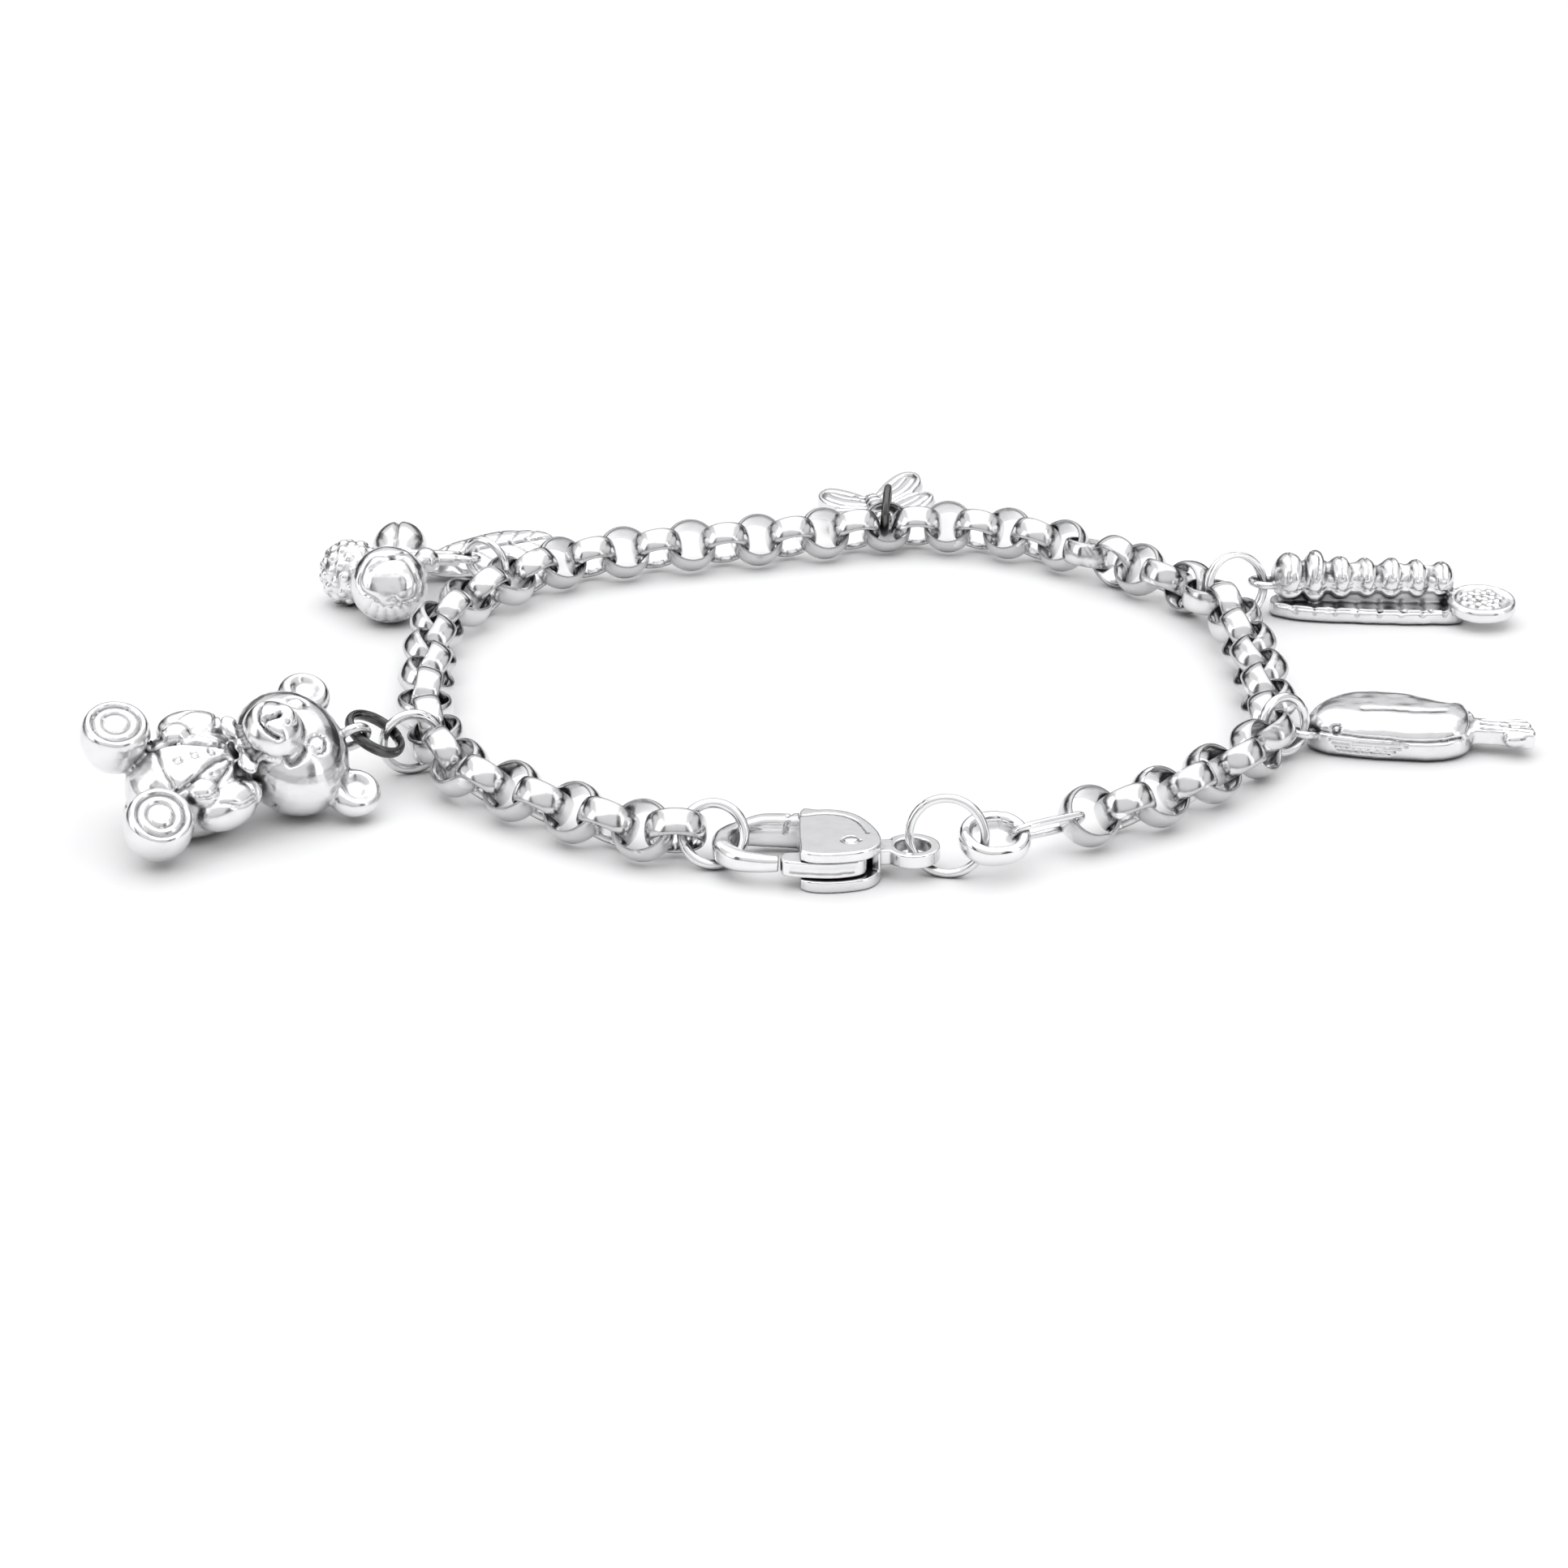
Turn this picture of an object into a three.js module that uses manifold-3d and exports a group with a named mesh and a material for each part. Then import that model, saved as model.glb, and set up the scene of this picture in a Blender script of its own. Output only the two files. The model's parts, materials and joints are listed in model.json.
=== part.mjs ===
// Charm bracelet: a belcher chain of domed band links with a lobster-claw
// clasp and five cast silver charms, lying flat on a surface. Millimetres, +Z up.
import * as THREE from 'three';
import { mergeVertices } from 'three/addons/utils/BufferGeometryUtils.js';
import Module from 'manifold-3d';

const wasm = await Module();
wasm.setup();

// ---- driving dimensions ---------------------------------------------------
const ORIGIN_SHIFT = { x: -4.67, y: -19.82, z: 0 };   // moves the box's bottom centre to the origin
const CHAIN_Z = 2.13;            // height of the chain's centre line
const LINK_OUTER = 1.98;         // link crown radius
const LINK_CROWN = 1.25;         // width of the band's raised crown
const LINK_INNER = 1.42;         // bore radius
const LINK_WIDTH = 1.80;         // band width
const SPLIT_INNER = 1.52;        // their bore radius
const SPLIT_WIDTH = 1.40;        // band width of the links beside a break between chain lengths
const SPLIT_SHIFT = 0.18;        // how far those links sit towards each other
const LINK_FACETS = 10;
const RING_FACETS = 14;
const WIRE_FACETS = 6;
const DEG = Math.PI / 180;

// ---- solids ---------------------------------------------------------------
function solid(geometry) {
  const g0 = geometry.index ? geometry : geometry.clone();
  const g = g0.clone();
  for (const key of Object.keys(g.attributes)) if (key !== 'position') g.deleteAttribute(key);
  const m = mergeVertices(g, 1e-4);
  const pos = m.attributes.position.array;
  const idx = Array.from(m.index.array);
  const tris = [];
  let volume = 0;
  for (let i = 0; i < idx.length; i += 3) {
    const [a, b, c] = [idx[i], idx[i + 1], idx[i + 2]];
    if (a === b || b === c || a === c) continue;
    tris.push(a, b, c);
    const A = new THREE.Vector3().fromArray(pos, a * 3);
    const B = new THREE.Vector3().fromArray(pos, b * 3);
    const C = new THREE.Vector3().fromArray(pos, c * 3);
    volume += A.dot(B.clone().cross(C));
  }
  if (volume < 0) for (let i = 0; i < tris.length; i += 3) [tris[i + 1], tris[i + 2]] = [tris[i + 2], tris[i + 1]];
  return new wasm.Manifold(new wasm.Mesh({
    numProp: 3, vertProperties: new Float32Array(pos), triVerts: new Uint32Array(tris),
  }));
}
function geometryOf(manifold) {
  const mesh = manifold.getMesh();
  const g = new THREE.BufferGeometry();
  g.setAttribute('position', new THREE.BufferAttribute(new Float32Array(mesh.vertProperties), 3));
  g.setIndex(new THREE.BufferAttribute(new Uint32Array(mesh.triVerts), 1));
  g.computeVertexNormals();
  return g;
}
const join = (list) => list.reduce((a, b) => a.add(b));
// the outer skin only: pockets closed in between joined links are filled
const filled = (m) => m.decompose().filter((c) => c.volume() > 0).sort((a, b) => b.volume() - a.volume())[0];
const V = (x, y, z) => new THREE.Vector3(x, y, z);

function placed(geometry, { at = [0, 0, 0], rot = [0, 0, 0], scale = [1, 1, 1] }) {
  const m = new THREE.Matrix4().compose(
    V(...at), new THREE.Quaternion().setFromEuler(new THREE.Euler(rot[0] * DEG, rot[1] * DEG, rot[2] * DEG, 'ZYX')),
    V(...scale));
  return geometry.clone().applyMatrix4(m);
}
const ball = (at, r, rot = [0, 0, 0], w = 10, h = 7) =>
  solid(placed(new THREE.SphereGeometry(1, w, h), { at, rot, scale: Array.isArray(r) ? r : [r, r, r] }));

// a plate: outline in x,y extruded from z0 to z1
function plate(points, z0, z1, bevel = 0) {
  const shape = new THREE.Shape(points.map((p) => new THREE.Vector2(p[0], p[1])));
  const g = new THREE.ExtrudeGeometry(shape, bevel > 0
    ? { depth: z1 - z0 - 2 * bevel, bevelEnabled: true, bevelThickness: bevel, bevelSize: bevel, bevelOffset: -bevel, bevelSegments: 2, steps: 1 }
    : { depth: z1 - z0, bevelEnabled: false, steps: 1 });
  g.translate(0, 0, z0 + bevel);
  return solid(g);
}
// a bar of round-cornered section along a curve
function bar(points, width, height, steps, corner = 0.35, facets = 8) {
  const s = new THREE.Shape();
  for (let i = 0; i < facets; i++) {
    const a = (i + 0.5) * 2 * Math.PI / facets;
    const c = Math.cos(a), q = Math.sin(a), e = 1 - corner;
    const px = Math.sign(c) * Math.pow(Math.abs(c), e) * width / 2;
    const py = Math.sign(q) * Math.pow(Math.abs(q), e) * height / 2;
    if (i === 0) s.moveTo(px, py); else s.lineTo(px, py);
  }
  s.closePath();
  const curve = new THREE.CatmullRomCurve3(points.map((p) => V(...p)), false, 'centripetal');
  return solid(new THREE.ExtrudeGeometry(s, { steps, bevelEnabled: false, extrudePath: curve, curveSegments: 1 }));
}

// ---- frames -----------------------------------------------------------------
function basis(center, xAxis, normal) {            // local z = normal, local x near xAxis
  const z = normal.clone().normalize();
  if (Math.abs(z.dot(xAxis.clone().normalize())) > 0.99) xAxis = V(1, 0, 0);
  const x = xAxis.clone().addScaledVector(z, -xAxis.dot(z)).normalize();
  const y = z.clone().cross(x);
  return new THREE.Matrix4().makeBasis(x, y, z).setPosition(center);
}

// ---- the chain --------------------------------------------------------------
// Every second link of the loop, from the clasp's hook side clockwise round to
// its tail side. x, y: the link's centre. twist: how far the chain has rolled
// about its own run. next: how many links lie between this one and the next row.
const STATIONS = [
  { x: -8.81, y: -11.94, twist: 0, next: 1 },
  { x: -13.25, y: -9.13, twist: 0, next: 1 },
  { x: -17.36, y: -5.87, twist: 0, next: 1 },
  { x: -21.08, y: -2.16, twist: 8, next: 3 },
  { x: -24.34, y: 7.57, twist: 50, next: 1 },
  { x: -24.71, y: 12.65, twist: 76, next: 1 },
  { x: -24.96, y: 17.77, twist: 90, next: 1 },
  { x: -24.93, y: 22.98, twist: 84, next: 1 },
  { x: -23.30, y: 27.96, twist: 74, next: 1 },
  { x: -20.45, y: 32.38, twist: 76, next: 1 },
  { x: -16.88, y: 36.23, twist: 90, next: 1 },
  { x: -12.16, y: 38.52, twist: 90, next: 1 },
  { x: -7.12, y: 40.01, twist: 90, next: 1 },
  { x: -2.02, y: 41.31, twist: 90, next: 1 },
  { x: 3.04, y: 42.76, twist: 90, next: 1 },
  { x: 7.87, y: 44.33, twist: 90, next: 1 },
  { x: 12.69, y: 44.32, twist: 90, next: 1 },
  { x: 17.32, y: 42.76, twist: 90, next: 1 },
  { x: 21.34, y: 39.99, twist: 90, next: 2 },
  { x: 26.72, y: 34.80, twist: 180, next: 1 },
  { x: 29.97, y: 31.12, twist: 208, next: 1 },
  { x: 32.12, y: 26.73, twist: 236, next: 1 },
  { x: 32.75, y: 21.67, twist: 256, next: 1 },
  { x: 33.03, y: 16.41, twist: 270, next: 1 },
  { x: 33.08, y: 11.15, twist: 264, next: 1 },
  { x: 32.66, y: 5.91, twist: 252, next: 1 },
  { x: 31.08, y: 0.92, twist: 258, next: 1 },
  { x: 27.72, y: -3.13, twist: 270, next: 1 },
  { x: 23.95, y: -6.79, twist: 270, next: 1 },
  { x: 19.27, y: -9.75, twist: 270, next: 0 },
];
const HOOK_END = { x: -6.75, y: -11.95 };           // the first link, at the clasp's hook-side ring
// chain lengths: the number of links in each solid
const LENGTHS = [
  { name: 'chain_front_left', links: 8 }, { name: 'chain_left_front', links: 8 },
  { name: 'chain_left_back', links: 8 }, { name: 'chain_back_left', links: 8 },
  { name: 'chain_back_right', links: 8 }, { name: 'chain_right_back', links: 8 },
  { name: 'chain_right_front', links: 8 }, { name: 'chain_front_right', links: 7 },
];

const links = [{ p: V(HOOK_END.x, HOOK_END.y, CHAIN_Z), twist: 0, odd: true }];
{
  const curve = new THREE.CatmullRomCurve3(STATIONS.map((s) => V(s.x, s.y, CHAIN_Z)), false, 'centripetal');
  const n = STATIONS.length - 1;
  let odd = false;
  STATIONS.forEach((s, i) => {
    links.push({ p: V(s.x, s.y, CHAIN_Z), twist: s.twist, odd });
    odd = !odd;
    for (let k = 1; k <= s.next; k++) {
      const f = k / (s.next + 1);
      links.push({ p: curve.getPoint((i + f) / n), twist: s.twist + f * (STATIONS[i + 1].twist - s.twist), odd });
      odd = !odd;
    }
  });
}
links.forEach((l, i) => {
  const a = links[Math.max(0, i - 1)].p, b = links[Math.min(links.length - 1, i + 1)].p;
  l.t = b.clone().sub(a).normalize();
  l.out = V(0, 0, 1).cross(l.t).normalize();
  const th = ((l.odd ? 135 : 45) + l.twist) * DEG;
  l.n = l.out.clone().multiplyScalar(Math.cos(th)).add(V(0, 0, Math.sin(th)));
  l.width = LINK_WIDTH;
});
// breaks between the chain lengths: the two links there are narrower and closer
{
  let k = 0;
  for (let s = 0; s < LENGTHS.length - 1; s++) {
    k += LENGTHS[s].links;
    const a = links[k - 1], b = links[k];
    const d = b.p.clone().sub(a.p).normalize();
    a.p.addScaledVector(d, SPLIT_SHIFT); b.p.addScaledVector(d, -SPLIT_SHIFT);
    a.width = SPLIT_WIDTH; b.width = SPLIT_WIDTH;
  }
  links[links.length - 1].width = SPLIT_WIDTH;           // room for the long link
}
function bandLink(l) {
  const h = l.width / 2, k = 1 / Math.sqrt(Math.cos(Math.PI / LINK_FACETS));
  const bore = (l.width < LINK_WIDTH ? SPLIT_INNER : LINK_INNER) / Math.cos(Math.PI / LINK_FACETS);
  const edge = l.width / LINK_WIDTH * LINK_CROWN / 2;
  const prof = [[bore, -h], [LINK_OUTER * k, -edge], [LINK_OUTER * k, edge], [bore, h], [bore, -h]]
    .map(([r, y]) => new THREE.Vector2(r, y));
  const g = new THREE.LatheGeometry(prof, LINK_FACETS, Math.PI / LINK_FACETS + Math.PI / 2);
  g.rotateX(Math.PI / 2);                                   // axis of the bore to local z
  g.applyMatrix4(basis(l.p, l.t, l.n));
  return solid(g);
}

// ---- rings ------------------------------------------------------------------
function torus(center, normal, R, wire, facets = RING_FACETS, along = V(0, 0, 1), stretch = 1) {
  const g = new THREE.TorusGeometry(R, wire, WIRE_FACETS, facets);
  if (stretch !== 1) {
    const p = g.attributes.position;
    for (let i = 0; i < p.count; i++) p.setX(i, p.getX(i) + Math.sign(p.getX(i)) * (stretch - 1) * R * Math.min(1, Math.abs(p.getX(i)) / (0.35 * R)));
  }
  g.applyMatrix4(basis(center, along, normal));
  return solid(g);
}

const group = new THREE.Group();
function add(name, manifold, color, roughness = 0.15) {
  const mesh = new THREE.Mesh(geometryOf(manifold), new THREE.MeshStandardMaterial({ color, roughness, metalness: 1 }));
  mesh.name = name;
  group.add(mesh);
}
const SILVER = 0xe6e6e8, CAST = 0xdcdcde, DARK = 0x6d6d70;

{
  let k = 0;
  for (const part of LENGTHS) {
    add(part.name, filled(join(links.slice(k, k + part.links).map(bandLink))), SILVER);
    k += part.links;
  }
}

// ---- the clasp ---------------------------------------------------------------
const CLASP = { thick: 2.7, slotLow: 0.78, slotHigh: 2.02, leverLow: 0.88, leverHigh: 1.92, hookZ: 1.45, hookH: 1.3, armH: 2.0, hookW: 1.1,
  pinR: 0.42, holeR: 0.52, pinX: 4.15, pinY: -14.55, mouthGap: 0.28 };
{
  const cheek = [[1.0, -10.15], [2.1, -9.9], [3.4, -9.95], [4.6, -10.7], [5.5, -12.2], [5.95, -13.6], [5.95, -14.9], [5.2, -16.0], [3.6, -16.55], [2.0, -16.6], [1.15, -16.2], [1.0, -15.4]];
  let body = plate(cheek, 0, CLASP.thick, 0.18);
  body = body.subtract(plate([[0, -12.75], [3.6, -12.85], [4.9, -13.15], [5.35, -13.9], [5.45, -14.75], [7.2, -15.0], [7.2, -19], [0, -19]], CLASP.slotLow, CLASP.slotHigh));
  // the claw: far arm, nose and near arm
  const claw = [[1.6, -10.45], [0.2, -10.35], [-1.4, -10.3], [-2.9, -10.8], [-3.75, -12.0], [-3.75, -13.6], [-2.9, -14.75], [-1.6, -15.2], [-0.35, -15.3]];
  body = body.add(bar(claw.map(([x, y]) => [x, y, CLASP.hookZ]), CLASP.hookH, CLASP.hookW, 16));
  body = body.add(bar(claw.slice(0, 4).map(([x, y]) => [x, y, 1.4]), CLASP.armH, CLASP.hookW, 6));
  // pivot pin between the cheeks
  const pin = new THREE.CylinderGeometry(CLASP.pinR, CLASP.pinR, 2.2, 12);
  body = body.add(solid(placed(pin, { at: [CLASP.pinX, CLASP.pinY, 1.35], rot: [90, 0, 0] })));
  // neck and flat tail eye
  const eye = new THREE.Shape();
  eye.absarc(8.0, -13.4, 1.72, 0, 2 * Math.PI, false);
  const hole = new THREE.Path(); hole.absarc(8.0, -13.4, 1.08, 0, 2 * Math.PI, true); eye.holes.push(hole);
  const eyeG = new THREE.ExtrudeGeometry(eye, { depth: 0.9, bevelEnabled: false, curveSegments: 12, steps: 1 });
  eyeG.translate(0, 0, 0.95);
  body = body.add(solid(eyeG));
  body = body.add(plate([[5.6, -14.5], [6.75, -14.35], [6.75, -12.6], [5.5, -12.7]], 0.9, 1.9));
  add('clasp_body', body, SILVER);
  let lever = plate([[CLASP.mouthGap - 0.33, -15.9], [CLASP.mouthGap - 0.33, -14.75], [1.2, -14.55], [3.0, -14.15], [3.6, -13.75], [4.2, -13.62], [4.8, -13.85], [5.05, -14.4], [5.1, -15.3], [4.6, -15.95], [3.2, -16.35], [1.6, -16.3]], CLASP.leverLow, CLASP.leverHigh, 0.12);
  const bore = new THREE.CylinderGeometry(CLASP.holeR, CLASP.holeR, 3, 12);
  lever = lever.subtract(solid(placed(bore, { at: [CLASP.pinX, CLASP.pinY, 1.4], rot: [90, 0, 0] })));
  add('clasp_lever', lever, SILVER);
}

// ---- rings and links at the clasp ----------------------------------------------
add('ring_hook', torus(V(-4.414, -12.108, 1.980), V(0.082, -0.826, 0.557), 1.95, 0.33, RING_FACETS, V(0.279, -0.274, 1.184)), SILVER);
add('ring_tail', torus(V(10.114, -13.659, 2.552), V(-0.197, -0.951, 0.238), 2.38, 0.29, 16, V(0.097, -0.073, 0.564)), SILVER);
add('link_wide', torus(V(13.043, -13.597, 2.372), V(0.126, -0.336, 0.933), 1.55, 0.45, 14, V(1.245, 0.343, 0.188), 1.2), SILVER);
add('link_long', torus(V(16.354, -11.651, 2.228), V(-0.363, 0.616, 0.699), 1.15, 0.20, 14, V(0.750, 0.402, -0.152), 2.36), SILVER);

// ---- teddy bear ------------------------------------------------------------------
// Seated bear on its back. Local axes: x from feet to head, y across, z out of the front.
function bearPiece(list) { return join(list); }
{
  const BEAR = { at: [-35.2, -5.8, 3.48], rot: [31.4, -2.9, 30.8] };
  const m = new THREE.Matrix4().compose(V(...BEAR.at), new THREE.Quaternion().setFromEuler(
    new THREE.Euler(BEAR.rot[0] * DEG, BEAR.rot[1] * DEG, BEAR.rot[2] * DEG, 'ZYX')), V(1, 1, 1));
  const foot = (s) => {
    const g = new THREE.LatheGeometry([[0, -2.2], [1.3, -1.9], [2.05, -0.9], [2.25, 0.3], [2.1, 1.2], [1.8, 1.5], [0, 1.5]].map(([r, y]) => new THREE.Vector2(r, y)), 12);
    return solid(placed(g, { at: [-6.75, s * 3.6, 1.7], rot: [90 - s * 6, 0, 0] }));
  };
  const list = [
    ball([3.9, 0, 0.3], [3.7, 4.6, 3.3], [0, 0, 0], 14, 9),                // head
    ball([2.3, 0, 3.2], [2.0, 2.1, 1.9], [0, 0, 0], 10, 7),                 // snout
    ball([6.6, 4.1, 0.1], [1.75, 1.75, 1.2]), ball([6.6, -4.1, 0.1], [1.75, 1.75, 1.2]),   // ears
    torus(V(8.3, 0, 0.2), V(0, 1, 0), 1.0, 0.32, 10),                        // crown loop
    ball([-3.0, 0, -0.1], [4.2, 3.7, 3.1], [0, 0, 0], 12, 8),               // body
    ball([-1.6, 3.0, 1.0], [2.4, 1.5, 1.5], [0, 0, -20]), ball([-1.6, -3.0, 1.0], [2.4, 1.5, 1.5], [0, 0, 20]), // arms
    foot(1), foot(-1),
  ];
  add('teddy_bear', bearPiece(list).transform([...m.elements]), CAST, 0.2);
}
// bail ring soldered look: a separate dark ring through the crown's loop
add('bear_bail', torus(V(-26.808, 0.146, 3.546), V(0.531, -0.062, 0.845), 1.9, 0.27, RING_FACETS, V(-0.297, 0.202, 1.044)), DARK, 0.35);
add('bear_ring', torus(V(-24.615, 1.761, 2.276), V(-0.336, 0.942, -0.013), 1.95, 0.32, RING_FACETS, V(0.036, -0.255, 0.987)), SILVER);

// ---- fruit sprig -------------------------------------------------------------------
{
  const list = [
    ball([-29.0, 29.6, 2.85], [2.85, 2.85, 2.85], [0, 0, 0], 12, 9),
    ball([-32.2, 33.3, 2.4], [2.3, 2.3, 2.4]),
    ball([-29.2, 38.6, 2.4], [2.1, 2.6, 2.0]),
    ball([-26.7, 33.6, 3.3], 0.95, [0, 0, 0], 8, 6),
    bar([[-29.5, 32.2, 3.0], [-26.7, 33.6, 3.3], [-24.5, 34.2, 3.1]], 0.9, 0.9, 4, 0.1, 6),
    bar([[-29.2, 36.8, 2.6], [-26.7, 35.6, 2.9], [-24.3, 34.9, 3.1]], 0.9, 0.9, 4, 0.1, 6),
    bar([[-30.9, 34.5, 2.4], [-29.1, 37.2, 2.4]], 1.6, 1.6, 1, 0.1, 6),
    ball([-22.6, 39.9, 1.5], [5.4, 2.0, 0.9], [24, -6, 20], 12, 6),
    bar([[-25.6, 38.6, 1.6], [-26.7, 35.6, 2.9]], 1.1, 1.1, 1, 0.1, 6),
    bar([[-26.7, 35.8, 2.9], [-26.7, 33.4, 3.2]], 1.0, 1.0, 1, 0.1, 6),
  ];
  // loop for the jump ring
  list.push(torus(V(-23.7, 34.5, 3.15), V(0.1, 0.2, 1), 0.85, 0.3, 10));
  add('fruit_sprig', join(list), CAST, 0.2);
}
add('fruit_ring', torus(V(-22.167, 33.458, 3.226), V(0.537, 0.838, 0.099), 1.72, 0.3, RING_FACETS, V(0.096, 0.021, 0.848)), SILVER);

// ---- butterfly ----------------------------------------------------------------------
{
  const wing = (s) => plate([[s * 0.3, 0.6], [s * 1.6, 0.1], [s * 3.6, 0.3], [s * 4.6, 1.4], [s * 4.1, 2.8], [s * 3.3, 3.4], [s * 4.3, 4.6], [s * 4.4, 6.2], [s * 3.2, 7.4], [s * 1.4, 6.6], [s * 0.3, 4.8]], 0, 0.9);
  const tilt = (part, s) => {
    const m = new THREE.Matrix4().makeRotationY(-s * 14 * DEG);
    return part.transform([...m.elements]);
  };
  let b = tilt(wing(1), 1).add(tilt(wing(-1), -1));
  b = b.add(ball([0, 3.0, 0.6], [0.9, 3.4, 0.85], [0, 0, 0], 8, 8));
  b = b.add(torus(V(0, -1.2, 1.75), V(0, 0.5, 0.87), 0.97, 0.27, 10));
  b = b.add(bar([[0, 0.6, 0.8], [0, -0.45, 1.35]], 0.8, 0.7, 1, 0.1, 6));
  const m = new THREE.Matrix4().compose(V(8.2, 48.5, 0.0), new THREE.Quaternion().setFromEuler(new THREE.Euler(4 * DEG, -9 * DEG, 11 * DEG, 'ZYX')), V(1, 1, 1));
  b = b.transform([...m.elements]);
  const low = b.boundingBox().min[2];
  add('butterfly', b.translate(0, 0, -low), CAST, 0.2);
}
add('butterfly_ring', torus(V(7.949, 45.760, 2.933), V(0.994, -0.086, -0.061), 1.75, 0.32, RING_FACETS, V(-0.323, -0.376, 0.826)), DARK, 0.35);

// ---- segmented (caterpillar-like) charm -----------------------------------------------
{
  const n = 7, list = [];
  list.push(plate([[36.2, 30.3], [38.6, 29.2], [41.5, 28.9], [44.5, 28.6], [47.5, 28.5], [49.9, 28.8], [50.2, 31.0], [49.6, 32.6], [46.5, 33.2], [43.5, 33.0], [40.5, 33.1], [37.8, 32.7], [36.2, 31.8]], 0, 1.15, 0.2));
  for (let i = 0; i < n; i++) {
    const f = i / (n - 1);
    list.push(ball([37.3 + f * 11.2, 31.0 - f * 0.2, 3.0 - 0.15 * f], [1.25, 1.85 - 0.25 * f, i === 1 ? 2.0 : 1.5 - 0.2 * f], [0, 0, 0], 8, 6));
  }
  list.push(plate([[36.6, 30.6], [49.0, 30.2], [49.0, 31.6], [36.6, 31.8]], 1.0, 2.4));
  const disc = new THREE.CylinderGeometry(2.35, 2.35, 0.95, 14);
  list.push(solid(placed(disc, { at: [51.3, 29.2, 1.45], rot: [90 + 8, 0, 0], scale: [1.08, 1, 1] })));
  list.push(torus(V(35.45, 31.05, 2.45), V(0.1, 0.1, 1), 0.95, 0.27, 10));
  list.push(bar([[36.3, 31.0, 2.2], [37.6, 31.1, 2.2]], 1.2, 1.2, 1, 0.1, 6));
  let c = join(list);
  const low = c.boundingBox().min[2];
  add('segmented_charm', c.translate(0, 0, -low), CAST, 0.25);
}
add('segmented_ring_a', torus(V(33.300, 30.110, 2.549), V(-0.385, 0.871, -0.305), 2.30, 0.28, 16, V(-0.053, 0.130, 1.362)), SILVER);

// ---- whale-like charm -------------------------------------------------------------------
{
  const list = [];
  list.push(plate([[35.2, 5.9], [36.0, 8.3], [37.8, 10.0], [40.0, 10.4], [42.6, 9.9], [45.0, 8.4], [46.6, 7.4], [46.4, 5.2], [45.2, 3.7], [42.8, 3.2], [39.5, 3.6], [36.4, 4.4]], 0, 2.9, 0.9));
  list.push(plate([[45.9, 5.0], [48.0, 4.6], [50.0, 3.9], [50.3, 5.0], [49.9, 6.6], [48.0, 6.5], [46.0, 7.0]], 0.7, 1.9, 0.15));
  list.push(torus(V(34.68, 5.0, 1.6), V(0.2, 0.2, 1), 0.92, 0.28, 10));
  add('whale_charm', join(list), CAST, 0.2);
}
add('whale_ring', torus(V(33.390, 4.267, 2.431), V(0.546, -0.804, 0.236), 1.85, 0.32, RING_FACETS, V(-0.407, -0.621, 1.150)), SILVER);

group.children.forEach((m) => m.position.set(ORIGIN_SHIFT.x, ORIGIN_SHIFT.y, ORIGIN_SHIFT.z));
export default group;
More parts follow.
